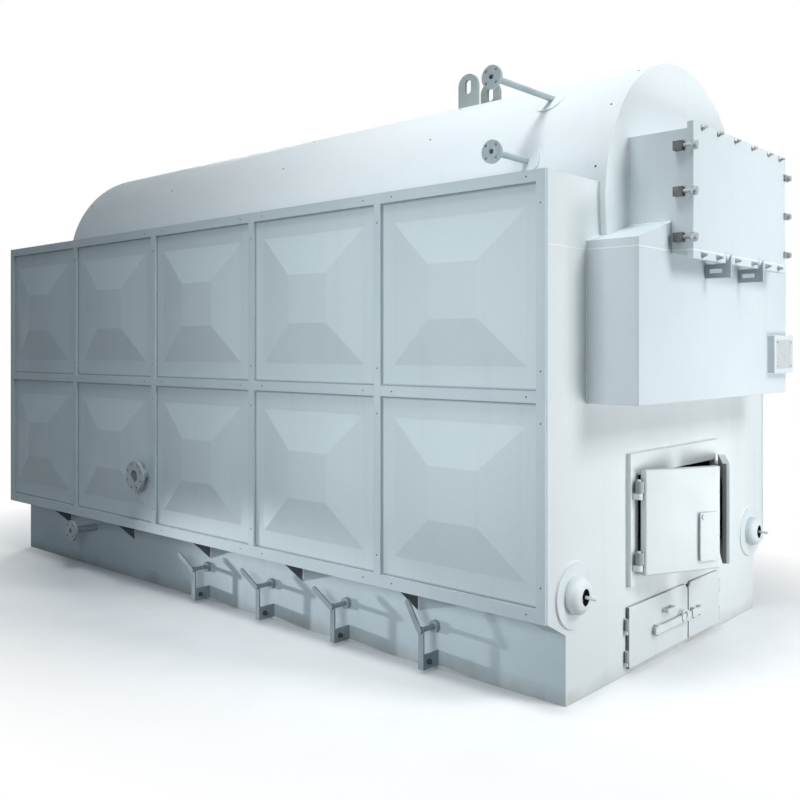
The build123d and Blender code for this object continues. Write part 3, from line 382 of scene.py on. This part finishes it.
# %% Painted sheet
def painted(name, pale, deep, roughness, cloud=1.1, streak=0.12, foot=0.0, peel=0.06, edge=0.0, seams=(),
            inside=False, strips=False, flank=False):
    """Sprayed paint: clouds, fine dots, faint runs, and what the other values ask for."""
    finish, tree, place = start_finish(name)
    colour = tint(tree, clouds(tree, place, cloud, 5.0), deep, pale)
    dots = clouds(tree, place, 55.0, 2.0, 0.42, 0.6, to_high=0.1)
    colour = tint(tree, dots, colour, rgb(*(0.86 * v for v in pale[:3])))
    drips = noise(tree, place, 1.0, 4.0, stretch=(11.0, 11.0, 0.45))
    colour = tint(tree, spread(tree, drips, 0.55, 0.8, to_high=streak), colour, rgb(0.40, 0.42, 0.41))
    if flank:
        colour = pier_flank(tree, place, colour)
    if foot:
        colour = splashed_foot(tree, place, colour, foot)
    if strips:
        colour = painted_strip_shade(tree, place, colour)
    for seam in seams:
        colour = seam_highlight(tree, place, colour, seam)
    gloss = clouds(tree, place, 7.0, 3.0, to_low=roughness - 0.06, to_high=roughness + 0.08)
    if inside:
        hidden = inside_boiler(tree, place)
        colour = tint(tree, hidden, colour, sooty_brick(tree, place))
        gloss = any_of(tree, gloss, all_of(tree, hidden, 0.9))
    rounded = soft_edge(tree, edge) if edge else None
    grain = bump(tree, noise(tree, place, 190.0, 2.0), peel, 0.002, below=rounded)
    waves = bump(tree, noise(tree, place, 2.6, 2.0), 0.05, 0.02, below=grain)
    end_finish(tree, colour, gloss, waves, specular=0.3)
    return finish


front_seam = 2.07
casing_finish = painted("casing_sheet", rgb(0.665, 0.735, 0.755), rgb(0.60, 0.675, 0.70), 0.46, inside=True)
front_finish = painted("front_sheet", rgb(0.70, 0.75, 0.755), rgb(0.65, 0.71, 0.72), 0.5, foot=0.3,
                       seams=(front_seam,), inside=True, flank=True)
panel_finish = painted("pressed_panel", rgb(0.60, 0.70, 0.735), rgb(0.55, 0.65, 0.69), 0.46, cloud=0.8,
                       peel=0.08, edge=0.006, strips=True)
strip_finish = painted("cover_strip", rgb(0.565, 0.66, 0.70), rgb(0.51, 0.605, 0.65), 0.42, cloud=2.0,
                       edge=0.0025)
drum_finish = painted("drum_jacket", rgb(0.72, 0.77, 0.785), rgb(0.67, 0.73, 0.75), 0.48, cloud=0.6,
                      streak=0.06, inside=True)
# Painted shade: the smoke box's paint is a darker, bluer copy of the front's, for its shaded side.
shaded_box_finish = painted("smoke_box_sheet", rgb(0.595, 0.665, 0.69), rgb(0.545, 0.62, 0.65), 0.45, edge=0.003,
                     seams=(front_seam,))
base_finish = painted("base_sheet", base_pale, base_deep, 0.5, cloud=1.6, foot=0.45, inside=True)
print("sheet paints:", len(bpy.data.materials))

# %% [markdown]
# Pipes, handles and lugs are brushed with a darker grey from the same tin. The gussets are nearly black,
# which is painted shade for the shadow under the casing. They are small, so the same recipe serves, with
# its clouds drawn closer together. The weld beads got a thicker, paler coat, which is in part a painted
# highlight along the edges they follow.

# %% Painted ironwork
pipe_finish = painted("pipe_paint", rgb(0.42, 0.49, 0.515), rgb(0.33, 0.395, 0.42), 0.42, cloud=9.0,
                      streak=0.2, edge=0.002)
handle_finish = painted("handle_paint", rgb(0.33, 0.40, 0.43), rgb(0.25, 0.31, 0.34), 0.42, cloud=12.0,
                        streak=0.2, edge=0.002)
lug_finish = painted("lug_paint", rgb(0.36, 0.41, 0.41), rgb(0.27, 0.32, 0.32), 0.45, cloud=8.0, edge=0.002)
# Painted shade: the gussets are nearly black for the shadow they stand in.
gusset_shade_finish = painted("gusset_painted_shade", rgb(0.13, 0.155, 0.165), rgb(0.09, 0.11, 0.12), 0.55, cloud=10.0)
# Pale weld coat: partly a real pale coat, partly a painted highlight along the joints.
weld_coat_and_highlight = painted("weld_coat_with_highlight", rgb(0.80, 0.84, 0.85), rgb(0.70, 0.755, 0.77), 0.4, cloud=30.0, peel=0.2)
print("paints:", len(bpy.data.materials))

# %% [markdown]
# ## Doors
# The leaves have the same paint, but the side towards the fire is scorched. A firing leaf stands ajar, so
# its inner side can't be found on a plain axis: it is the distance along the leaf's own facing from its
# hinge line. In the same way, the distance along the leaf finds the free edge, whose inner half gets
# painted shade for the gap beside it, and the distance to the hinge line finds the rubbed knuckles. The
# ash leaves stand shut, and plain axes find their rims, which get painted shade for the gaps around them.

# %% Masks on the doors
leaf_width, knuckle_radius, edge_margin = 0.484, 0.018, 0.0005
ash_side, ash_skin, ash_knuckles = 0.530, 0.0006, 0.5305
ash_meeting, ash_half_gap = 0.130, 0.0065
ash_foot, ash_face = 0.0336, -2.3565


def leaf_wear(tree, place, hinge, along):
    """Two masks: a leaf's rubbed knuckles, and its free edge, if a way along it is given."""
    from_hinge = vector_sum(tree, "SUBTRACT", place, hinge)
    level = vector_sum(tree, "MULTIPLY", from_hinge, (1, 1, 0))
    radius = vector_sum(tree, "LENGTH", level)
    reach = vector_sum(tree, "DOT_PRODUCT", level, along)
    knuckles = calc(tree, "LESS_THAN", radius, knuckle_radius + edge_margin)
    free_edge = calc(tree, "GREATER_THAN", reach, leaf_width - edge_margin)
    return knuckles, free_edge


def ash_rim_shade(tree, place):
    """1 on the upright and lower rims of the ash leaves, behind their faces, and on the right knuckles: painted
    shade of the gaps.
    """
    axes = split(tree, place)
    aside = calc(tree, "LESS_THAN", distance(tree, distance(tree, axes[0]), ash_side), ash_skin)
    meeting = calc(tree, "LESS_THAN", distance(tree, axes[0], ash_meeting), ash_half_gap)
    knuckles = calc(tree, "GREATER_THAN", axes[0], ash_knuckles)
    foot = calc(tree, "LESS_THAN", axes[2], ash_foot)
    behind_face = calc(tree, "GREATER_THAN", axes[1], ash_face)
    return all_of(tree, any_of(tree, aside, meeting, knuckles, foot), behind_face)


print("door masks ready")


# %% Door paint
def door_paint(name, hinge, facing, depth, shade_rims=False, along=(0.0, 0.0, 0.0)):
    """Paint outside, scorched beyond a depth along the leaf's facing."""
    finish, tree, place = start_finish(name)
    colour = tint(tree, clouds(tree, place, 2.2, 5.0), rgb(0.585, 0.645, 0.66), rgb(0.64, 0.69, 0.70))
    scuffs = spread(tree, noise(tree, place, 1.0, 6.0, stretch=(22.0, 22.0, 5.0)), 0.6, 0.72)
    colour = tint(tree, all_of(tree, scuffs, 0.12), colour, rgb(0.30, 0.29, 0.27))
    inward = vector_sum(tree, "DOT_PRODUCT", place, facing)
    behind = calc(tree, "SUBTRACT", inward, Vector(hinge).dot(Vector(facing)))
    scorched = spread(tree, behind, depth - 0.004, depth + 0.001)
    scale = clouds(tree, place, 6.0, 5.0, 0.35, 0.65)
    burnt = tint(tree, scale, rgb(0.035, 0.03, 0.027), rgb(0.11, 0.075, 0.05))
    colour = tint(tree, scorched, colour, burnt)
    # Painted shade: the ash leaves' rims and the right knuckles are darkened for the gaps around them.
    if shade_rims:
        colour = tint(tree, all_of(tree, ash_rim_shade(tree, place), 0.85), colour, rgb(0.06, 0.06, 0.058))
    knuckles, free_edge = leaf_wear(tree, place, hinge, along)
    colour = tint(tree, all_of(tree, knuckles, 0.8), colour, rgb(0.17, 0.195, 0.205))
    # Painted shade: the free edge's inner half is darkened for the gap beside it.
    painted_gap_shade = all_of(tree, free_edge, spread(tree, behind, -0.004, 0.004, to_high=0.9))
    colour = tint(tree, painted_gap_shade, colour, rgb(0.045, 0.05, 0.052))
    shine = clouds(tree, place, 9.0, 3.0, to_low=0.42, to_high=0.56)
    gloss = calc(tree, "ADD", shine, all_of(tree, scorched, 0.3))
    grain = bump(tree, noise(tree, place, 160.0, 2.0), 0.07, 0.002, below=soft_edge(tree, 0.003))
    end_finish(tree, colour, gloss, bump(tree, noise(tree, place, 5.0, 2.0), 0.06, 0.01, below=grain))
    return finish


ajar = radians(26.0)
hinge_x, hinge_y, leaf_back = 0.49, -2.390, 0.0199
ash_hinge, ash_back = (-0.545, -2.351, 0.0), 0.0059
left_leaf_finish = door_paint("left_leaf_paint", (-hinge_x, hinge_y, 0.0), (sin(ajar), cos(ajar), 0.0),
                              leaf_back, along=(cos(ajar), -sin(ajar), 0.0))
right_leaf_finish = door_paint("right_leaf_paint", (hinge_x, hinge_y, 0.0), (-sin(ajar), cos(ajar), 0.0),
                               leaf_back, along=(-cos(ajar), -sin(ajar), 0.0))
ash_leaf_finish = door_paint("ash_leaf_paint", ash_hinge, (0.0, 1.0, 0.0), ash_back, shade_rims=True)
print("door paints ready")

# %% [markdown]
# ## Bare steel and iron
# Screws and foot bolts are black oxide steel, and the cover's studs are zinc plated. A clamp is dark on
# its lug, and lighter in front of it, on the bolt and dog. The grate is cast iron with scale and a little
# rust. They differ only in tones, roughness and how metallic they are, so one recipe makes them all.


# %% Steel and iron
def bare_metal(name, dark, worn, rust, roughness, metallic, bright_before=None):
    finish, tree, place = start_finish(name)
    colour = tint(tree, clouds(tree, place, 26.0, 4.0, 0.35, 0.7), dark, worn)
    if bright_before:
        before_lug = spread(tree, split(tree, place)[1], bright_before, bright_before + 0.002, 1.0, 0.0)
        colour = tint(tree, before_lug, colour, rgb(0.34, 0.37, 0.39))
    bloom = clouds(tree, place, 9.0, 6.0, 0.55, 0.72)
    colour = tint(tree, all_of(tree, bloom, 0.6), colour, rust)
    gloss = clouds(tree, place, 60.0, 3.0, to_low=roughness - 0.1, to_high=roughness + 0.12)
    end_finish(tree, colour, gloss, bump(tree, noise(tree, place, 140.0, 4.0), 0.18, 0.002), metallic=metallic)
    return finish


clamp_lug_front = -2.674
dark_steel = bare_metal("dark_steel", rgb(0.045, 0.05, 0.052), rgb(0.13, 0.135, 0.14), rgb(0.09, 0.05, 0.03),
                        0.45, 0.6)
grate_iron = bare_metal("grate_iron", rgb(0.05, 0.045, 0.04), rgb(0.10, 0.09, 0.08), rgb(0.16, 0.08, 0.04),
                        0.7, 0.3)
zinc_steel = bare_metal("zinc_steel", rgb(0.30, 0.32, 0.33), rgb(0.52, 0.54, 0.55), rgb(0.20, 0.16, 0.13),
                        0.38, 0.7)
clamp_steel = bare_metal("clamp_steel", rgb(0.06, 0.07, 0.075), rgb(0.13, 0.14, 0.145), rgb(0.09, 0.06, 0.04),
                         0.4, 0.5, bright_before=clamp_lug_front)
print("metals ready")

# %% [markdown]
# ## Header ends
# Two header pipes end in the front wall. Each has a handhole, closed from inside by a cover on a stud. Its
# recess is painted near-black as shade, while the barrel is painted. The recess is what lies near the
# pipe's axis and behind the barrel's face.

# %% Header paint
header_x, header_z, handhole_reach = 1.015, 0.49, 0.0395
recess_start, recess_full = -2.4045, -2.4025
header_finish, tree, place = start_finish("header_paint")
axes = split(tree, place)
aside = calc(tree, "SUBTRACT", distance(tree, axes[0]), header_x)
above = calc(tree, "SUBTRACT", axes[2], header_z)
flat = add(tree, "ShaderNodeCombineXYZ", {0: aside, 1: above}).outputs[0]
near_axis = calc(tree, "LESS_THAN", vector_sum(tree, "LENGTH", flat), handhole_reach)
recess = all_of(tree, near_axis, spread(tree, axes[1], recess_start, recess_full))
colour = tint(tree, clouds(tree, place, 6.0, 5.0), rgb(0.60, 0.665, 0.685), rgb(0.68, 0.735, 0.75))
# Painted shade: the handhole's recess is coloured near-black.
colour = tint(tree, recess, colour, rgb(0.018, 0.018, 0.018))
gloss = clouds(tree, place, 12.0, 3.0, to_low=0.36, to_high=0.5)
end_finish(tree, colour, gloss, bump(tree, noise(tree, place, 120.0, 3.0), 0.1, 0.002))
print("header recess within", handhole_reach, "m")

# %% [markdown]
# ## Finishes onto the CAD pieces
# A CAD piece keeps its mesh. Its finish could go into the mesh, but then the mesh would no longer be as it
# was packed, so it goes on the object's own material slot.

# %% Dress the CAD pieces
dress = {
    casing_finish: ["rear_wall", "left_casing_wall", "right_casing_wall", "top_decks"],
    front_finish: ["front_left_pier", "front_right_pier", "front_lintel", "front_middle_band", "ash_door_sill",
                   "firing_door_frame", "firing_door_pintles", "ash_door_pintles"],
    panel_finish: ["left_panels", "right_panels", "rear_panels"],
    strip_finish: ["casing_stiles", "casing_mid_rails", "casing_top_rails", "casing_bottom_rails"],
    drum_finish: ["drum_shell", "drum_front_plate", "drum_rear_plate", "gauge_pads"],
    shaded_box_finish: ["smoke_box", "smoke_box_cover", "flue_hood", "plate_box"],
    base_finish: ["base_left_beam", "base_right_beam", "base_rear_plate", "ash_pit_floor"],
    gusset_shade_finish: ["casing_gussets"],
    lug_finish: ["lifting_lugs"],
    pipe_finish: ["gauge_pipes", "side_nozzles", "drain_pipes", "cover_rests"],
    handle_finish: ["damper_posts", "damper_collars", "damper_handle_1", "damper_handle_2", "damper_handle_3",
                    "damper_handle_4"],
    header_finish: ["header_ends", "header_rings"],
    clamp_steel: ["cover_clamps"],
    grate_iron: ["grate_bed"],
    left_leaf_finish: ["firing_door_left", "peephole_cover"],
    right_leaf_finish: ["firing_door_right"],
    ash_leaf_finish: ["ash_door_left", "ash_door_right"],
}
for finish, names in dress.items():
    for name in names:
        for place_in_list in nodes[name].material_slots:
            place_in_list.link = "OBJECT"
            place_in_list.material = finish
left_bare = sorted(set(nodes) - {name for names in dress.values() for name in names})
print("dressed:", sum(map(len, dress.values())), "left bare:", left_bare)

# %% [markdown]
# ## Rows of hardware
# Screws, studs and nuts repeat along straight rows. Copies placed by hand would be slow to change, so each
# kind is one Geometry Nodes tree. Its seed is a mesh of plain points and edges that carries one attribute,
# the direction that the heads face. The tree stands a head on every point, and the result is kept as one
# plain mesh.


# %% Geometry helpers
def geometry_tree(name, inputs):
    tree = bpy.data.node_groups.new(name, "GeometryNodeTree")
    tree.is_modifier = True
    face = tree.interface
    face.new_socket("Geometry", in_out="INPUT", socket_type="NodeSocketGeometry")
    for label, kind in inputs.items():
        face.new_socket(label, in_out="INPUT", socket_type="NodeSocket" + kind)
    face.new_socket("Geometry", in_out="OUTPUT", socket_type="NodeSocketGeometry")
    return tree, add(tree, "NodeGroupInput").outputs


def end_tree(tree, geometry, finish, smooth):
    if smooth:
        geometry = add(tree, "GeometryNodeSetShadeSmooth", {"Geometry": geometry}).outputs[0]
    real = add(tree, "GeometryNodeRealizeInstances", {"Geometry": geometry}).outputs[0]
    done = add(tree, "GeometryNodeSetMaterial", {"Geometry": real, "Material": finish}).outputs[0]
    add(tree, "NodeGroupOutput", {"Geometry": done})
    print(tree.name, len(tree.nodes), "nodes")


def sampled_curve(tree, edges, length):
    path = add(tree, "GeometryNodeMeshToCurve", {"Mesh": edges}).outputs[0]
    return add(tree, "GeometryNodeResampleCurve", {"Curve": path, "Length": length}, mode="LENGTH").outputs[0]


def on_points(tree, points, piece):
    """A piece on every point, turned to the point's facing."""
    way = add(tree, "GeometryNodeInputNamedAttribute", {"Name": "facing"}, data_type="FLOAT_VECTOR").outputs[0]
    turn = add(tree, "FunctionNodeAlignRotationToVector", {"Vector": way}, axis="Z").outputs[0]
    sockets = {"Points": points, "Instance": piece, "Rotation": turn}
    return add(tree, "GeometryNodeInstanceOnPoints", sockets).outputs[0]


print("geometry helpers ready")


# %% Seeds and growing
def rows(name, runs):
    """Seed mesh: each run is a list of points and the way its heads face."""
    points, edges, ways = [], [], []
    for line, way in runs:
        first = len(points)
        points += [tuple(p) for p in line]
        edges += [(first + i, first + i + 1) for i in range(len(line) - 1)]
        ways += [tuple(way)] * len(line)
    mesh = bpy.data.meshes.new(name)
    mesh.from_pydata(points, edges, [])
    facing = mesh.attributes.new("facing", "FLOAT_VECTOR", "POINT")
    facing.data.foreach_set("vector", [v for way in ways for v in way])
    return mesh


def grow(name, seed, tree, values, body):
    """Run a tree on a seed and keep the result as one plain mesh on a body."""
    host = bpy.data.objects.new(name + "_seed", seed)
    scene.collection.objects.link(host)
    modifier = host.modifiers.new("grow", "NODES")
    modifier.node_group = tree
    for item in tree.interface.items_tree:
        if item.in_out == "INPUT" and item.name in values:
            modifier[item.identifier] = values[item.name]
    graph = bpy.context.evaluated_depsgraph_get()
    mesh = bpy.data.meshes.new_from_object(host.evaluated_get(graph), depsgraph=graph)
    bpy.data.objects.remove(host)
    mesh.name = name
    piece = bpy.data.objects.new(name, mesh)
    scene.collection.objects.link(piece)
    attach(piece, body)
    print(name, len(mesh.polygons), "faces")


print("ready to grow rows")

# %% [markdown]
# ## Screws in the cover strips
# The strips that hide the panel joints are held by dome screws, small and dark against the paint, in the
# middle of each strip at a steady pitch. A head is a sphere pressed flat, half of it sunk in the strip,
# which needs far fewer faces than a turned profile and looks the same at this size.

# %% Screw tree
screw_inputs = {"Pitch": "Float", "Head radius": "Float", "Head height": "Float", "Finish": "Material"}
screw_tree, given = geometry_tree("screw_row", screw_inputs)
path = sampled_curve(screw_tree, given["Geometry"], given["Pitch"])
ball = add(screw_tree, "GeometryNodeMeshUVSphere", {"Segments": 10, "Rings": 6, "Radius": 1.0}).outputs[0]
breadth, height = given["Head radius"], given["Head height"]
size = add(screw_tree, "ShaderNodeCombineXYZ", {0: breadth, 1: breadth, 2: height}).outputs[0]
dome = add(screw_tree, "GeometryNodeTransform", {"Geometry": ball, "Scale": size}).outputs[0]
end_tree(screw_tree, on_points(screw_tree, path, dome), given["Finish"], smooth=True)

# %% Screws on the side and rear strips
strip_x, strip_y = 1.247, rear_end
rail_margin = 0.1
stile_runs = ((0.56, 1.28), (1.51, 2.25))
rear_rail_runs = ((-1.1, -0.12), (0.12, 1.1))
rear_stiles = (-1.206, 0.0, 1.206)
runs = []
for side in (-1, 1):
    way = (side, 0, 0)
    for z, _ in rail_heights:
        for column in range(columns):
            start = front_end + column * pitch_y + rail_margin
            end = start + pitch_y - 2 * rail_margin
            runs.append(([(side * strip_x, start, z), (side * strip_x, end, z)], way))
    for column in range(columns + 1):
        y = min(max(front_end + column * pitch_y, front_end + stile_width / 2), rear_end - stile_width / 2)
        for bottom, top in stile_runs:
            runs.append(([(side * strip_x, y, bottom), (side * strip_x, y, top)], way))
for z, _ in rail_heights:
    for left, right in rear_rail_runs:
        runs.append(([(left, strip_y, z), (right, strip_y, z)], (0, 1, 0)))
for x in rear_stiles:
    for bottom, top in stile_runs:
        runs.append(([(x, strip_y, bottom), (x, strip_y, top)], (0, 1, 0)))
grow("strip_screws", rows("strip_screws", runs), screw_tree,
     {"Pitch": 0.5, "Head radius": 0.0042, "Head height": 0.0025, "Finish": dark_steel}, "boiler")

# %% [markdown]
# ## Screws in the drum's jacket
# The jacket laps the drum's ends with a ring of self-tapping screws, and its sheets lap each other every
# metre or so. The screw tree wants edges, so each screw of a ring is the start of a very short edge that
# faces away from the axis.

# %% Jacket screws
axis_z, drum_radius = 2.312, 0.795
ring_places = (-2.315, -1.16, 0.115, 1.39, 2.545)
ring_angles = [radians(12.0 + 26.0 * step) for step in range(7)]
short_edge = Vector((0, 0.001, 0))
runs = []
for y in ring_places:
    for angle in ring_angles:
        centre = Vector((drum_radius * cos(angle), y, axis_z + drum_radius * sin(angle)))
        runs.append(([centre, centre + short_edge], (cos(angle), 0.0, sin(angle))))
grow("jacket_screws", rows("jacket_screws", runs), screw_tree,
     {"Pitch": 0.5, "Head radius": 0.0055, "Head height": 0.0032, "Finish": dark_steel}, "boiler")

# %% [markdown]
# ## Studs and nuts
# The smoke box cover is held by studs with hexagon nuts along its top and bottom. A stud is a stack of
# three slices: the rod, a washer and a six-sided nut, all sized from the rod's radius. So the same tree at
# another size gives the foot bolts of the damper posts.

# %% Stud tree
washer_share, washer_depth_share, nut_share, nut_depth_share = 2.1, 0.3, 1.8, 1.5
stud_inputs = {"Stud radius": "Float", "Stud length": "Float", "Finish": "Material"}
stud_tree, given = geometry_tree("stud_row", stud_inputs)
points = add(stud_tree, "GeometryNodeMeshToPoints", {"Mesh": given["Geometry"]}).outputs[0]


def stud_slice(sides, radius, thickness, bottom=0.0):
    """One round or six-sided slice of the stud, standing on a height."""
    sockets = {"Vertices": sides, "Radius": radius, "Depth": thickness}
    slice_mesh = add(stud_tree, "GeometryNodeMeshCylinder", sockets).outputs[0]
    lift = calc(stud_tree, "ADD", bottom, all_of(stud_tree, thickness, 0.5))
    move = add(stud_tree, "ShaderNodeCombineXYZ", {2: lift}).outputs[0]
    return add(stud_tree, "GeometryNodeTransform", {"Geometry": slice_mesh, "Translation": move}).outputs[0]


stud_radius = given["Stud radius"]
washer_depth = all_of(stud_tree, stud_radius, washer_depth_share)
nut_depth = all_of(stud_tree, stud_radius, nut_depth_share)
stacked = add(stud_tree, "GeometryNodeJoinGeometry")
for part in (stud_slice(10, stud_radius, given["Stud length"]),
             stud_slice(14, all_of(stud_tree, stud_radius, washer_share), washer_depth),
             stud_slice(6, all_of(stud_tree, stud_radius, nut_share), nut_depth, washer_depth)):
    stud_tree.links.new(part, stacked.inputs[0])
end_tree(stud_tree, on_points(stud_tree, points, stacked.outputs[0]), given["Finish"], smooth=False)

# %% Studs of the smoke box cover
cover_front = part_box("smoke_box_cover")[0][1]
cover_low, cover_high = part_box("smoke_box_cover")[0][2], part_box("smoke_box_cover")[1][2]
stud_inset = 0.019
upper_studs = (-0.489, -0.309, -0.101, 0.116, 0.333, 0.498)
lower_studs = (-0.489, -0.316, -0.094, 0.116, 0.305, 0.478)
places = [(x, cover_front, cover_high - stud_inset) for x in upper_studs]
places += [(x, cover_front, cover_low + stud_inset) for x in lower_studs]
grow("cover_studs", rows("cover_studs", [([p], (0, -1, 0)) for p in places]), stud_tree,
     {"Stud radius": 0.0068, "Stud length": 0.027, "Finish": zinc_steel}, "boiler")

# %% Foot bolts of the damper posts
base_side = 1.08
first_post, post_pitch, post_count = 0.760, 0.633, 4
bolt_out, bolt_before, bolt_height = 0.075, 0.017, 0.055
places = []
for number in range(post_count):
    y = front_end + first_post + post_pitch * number
    places.append((-base_side - bolt_out, y - bolt_before, bolt_height))
grow("post_bolts", rows("post_bolts", [([p], (0, -1, 0)) for p in places]), stud_tree,
     {"Stud radius": 0.007, "Stud length": 0.018, "Finish": dark_steel}, "boiler")

# %% [markdown]
# ## Weld beads
# Plates meet in fillet welds. A bump in the paint would vanish at the joint's edge, so a bead is a real
# tube along the joint. The tree turns edges into a curve, samples it closely, lets a noise change the
# radius and sweeps a small ring along it.

# %% Bead tree
bead_tree, given = geometry_tree("weld_bead", {"Bead radius": "Float", "Step": "Float", "Finish": "Material"})
path = sampled_curve(bead_tree, given["Geometry"], given["Step"])
place = add(bead_tree, "GeometryNodeInputPosition").outputs[0]
ripple = clouds(bead_tree, place, 70.0, 2.0, to_low=0.75, to_high=1.2)
width = all_of(bead_tree, given["Bead radius"], ripple)
path = add(bead_tree, "GeometryNodeSetCurveRadius", {"Curve": path, "Radius": width}).outputs[0]
ring = add(bead_tree, "GeometryNodeCurvePrimitiveCircle", {"Resolution": 6, "Radius": 1.0}).outputs[0]
radius_here = add(bead_tree, "GeometryNodeInputRadius").outputs[0]
sweep_sockets = {"Curve": path, "Profile Curve": ring, "Scale": radius_here, "Fill Caps": True}
sweep = add(bead_tree, "GeometryNodeCurveToMesh", sweep_sockets).outputs[0]
end_tree(bead_tree, sweep, given["Finish"], smooth=True)

# %% Beads on the front
wall, hood_front, box_back = front_end, -2.604, -2.377
hood_half, hood_low, hood_shoulder = 0.9, 1.355, 2.11
hood_meets_drum = (0.745, 2.1565)
frame_half, frame_low, frame_high = 0.525, 0.434, 1.09
plate_box_left, plate_box_right, plate_box_low, plate_box_high = 0.6, 0.89, 1.472, 1.685
box_half, box_low, box_high = 0.583, 2.205, 2.635
drum_bead, drum_bead_top, drum_bead_foot = 0.797, 6.3, -12.0
ring_bead = 0.1505


def arc(centre_x, centre_z, radius, first, last, steps):
    angles = [radians(first + (last - first) * i / steps) for i in range(steps + 1)]
    return [(centre_x + radius * cos(a), wall, centre_z + radius * sin(a)) for a in angles]


def around_box(left, right, y, low, high):
    return [(left, y, low), (left, y, high), (right, y, high), (right, y, low), (left, y, low)]


beads = [
    [(-hood_half, wall, hood_shoulder), (-hood_half, wall, hood_low), (hood_half, wall, hood_low),
     (hood_half, wall, hood_shoulder)],
    [(-hood_half, wall, hood_shoulder), (-hood_meets_drum[0], wall, hood_meets_drum[1])],
    [(hood_half, wall, hood_shoulder), (hood_meets_drum[0], wall, hood_meets_drum[1])],
    around_box(-frame_half, frame_half, wall, frame_low, frame_high),
    around_box(plate_box_left, plate_box_right, hood_front, plate_box_low, plate_box_high),
    [(-box_half, hood_front, box_low), (-box_half, box_back, box_low)],
    [(box_half, hood_front, box_low), (box_half, box_back, box_low)],
    [(-box_half, box_back, box_low), (-box_half, box_back, box_high), (box_half, box_back, box_high),
     (box_half, box_back, box_low)],
    arc(0.0, axis_z, drum_bead, drum_bead_top, drum_bead_foot, 12),
    arc(0.0, axis_z, drum_bead, 180.0 - drum_bead_top, 180.0 - drum_bead_foot, 12),
    arc(-header_x, header_z, ring_bead, 0.0, 360.0, 40),
    arc(header_x, header_z, ring_bead, 0.0, 360.0, 40),
]
grow("front_welds", rows("front_welds", [(line, (0, -1, 0)) for line in beads]), bead_tree,
     {"Bead radius": 0.0055, "Step": 0.012, "Finish": weld_coat_and_highlight}, "boiler")

# %% Beads on the lifting lugs and gussets
lug_faces, lug_front, lug_rear = (0.105, 0.125), -1.114, -0.964
gusset_share = 0.174
gusset_pitch = (rear_end - front_end) * gusset_share
gusset_faces, gusset_low, gusset_high = (-0.005, 0.005), 0.274, 0.398
feet = []
for side in (-1, 1):
    for face in lug_faces:
        x = side * face
        z = axis_z + (drum_radius**2 - x**2) ** 0.5
        feet.append([(x, lug_front, z), (x, lug_rear, z)])
    for number in range(1, 6):
        y = front_end + gusset_pitch * number
        for face in gusset_faces:
            feet.append([(side * base_side, y + face, gusset_low), (side * base_side, y + face, gusset_high)])
grow("lug_welds", rows("lug_welds", [(line, (0, 0, 1)) for line in feet]), bead_tree,
     {"Bead radius": 0.005, "Step": 0.01, "Finish": weld_coat_and_highlight}, "boiler")

# %% [markdown]
# ## The bare plate
# The shallow box on the hood carries a plate. It is left blank: a thin sheet with a bevelled edge and four
# rivets. A shape this plain is quickest written as its eight corners.

# %% Blank plate
plate_left, plate_right, plate_low, plate_high = 0.625, 0.865, 1.497, 1.66
plate_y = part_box("plate_box")[0][1]
bevel, rise = 0.004, 0.0025
left, right, low, high = plate_left + bevel, plate_right - bevel, plate_low + bevel, plate_high - bevel
outer = [(plate_left, plate_low), (plate_right, plate_low), (plate_right, plate_high), (plate_left, plate_high)]
inner = [(left, low), (right, low), (right, high), (left, high)]
points = [(x, plate_y, z) for x, z in outer] + [(x, plate_y - rise, z) for x, z in inner]
sides = [(i, (i + 1) % 4, 4 + (i + 1) % 4, 4 + i) for i in range(4)]
plate_mesh = bpy.data.meshes.new("blank_plate")
plate_mesh.from_pydata(points, [], sides + [(4, 5, 6, 7), (3, 2, 1, 0)])
plate_finish = bare_metal("plate_metal", rgb(0.44, 0.47, 0.48), rgb(0.52, 0.55, 0.56), rgb(0.40, 0.42, 0.42),
                          0.55, 0.15)
plate_mesh.materials.append(plate_finish)
plate = bpy.data.objects.new("blank_plate", plate_mesh)
scene.collection.objects.link(plate)
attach(plate, "boiler")
print("plate", round(plate_right - plate_left, 3), "m wide")

# %% Rivets of the plate
rivet_inset = 0.014
short_edge = Vector((0.0005, 0, 0))
rivets = []
for x in (plate_left + rivet_inset, plate_right - rivet_inset):
    for z in (plate_low + rivet_inset, plate_high - rivet_inset):
        corner = Vector((x, plate_y - rise, z))
        rivets.append(([corner, corner + short_edge], (0, -1, 0)))
grow("plate_rivets", rows("plate_rivets", rivets), screw_tree,
     {"Pitch": 0.5, "Head radius": 0.005, "Head height": 0.003, "Finish": dark_steel}, "boiler")
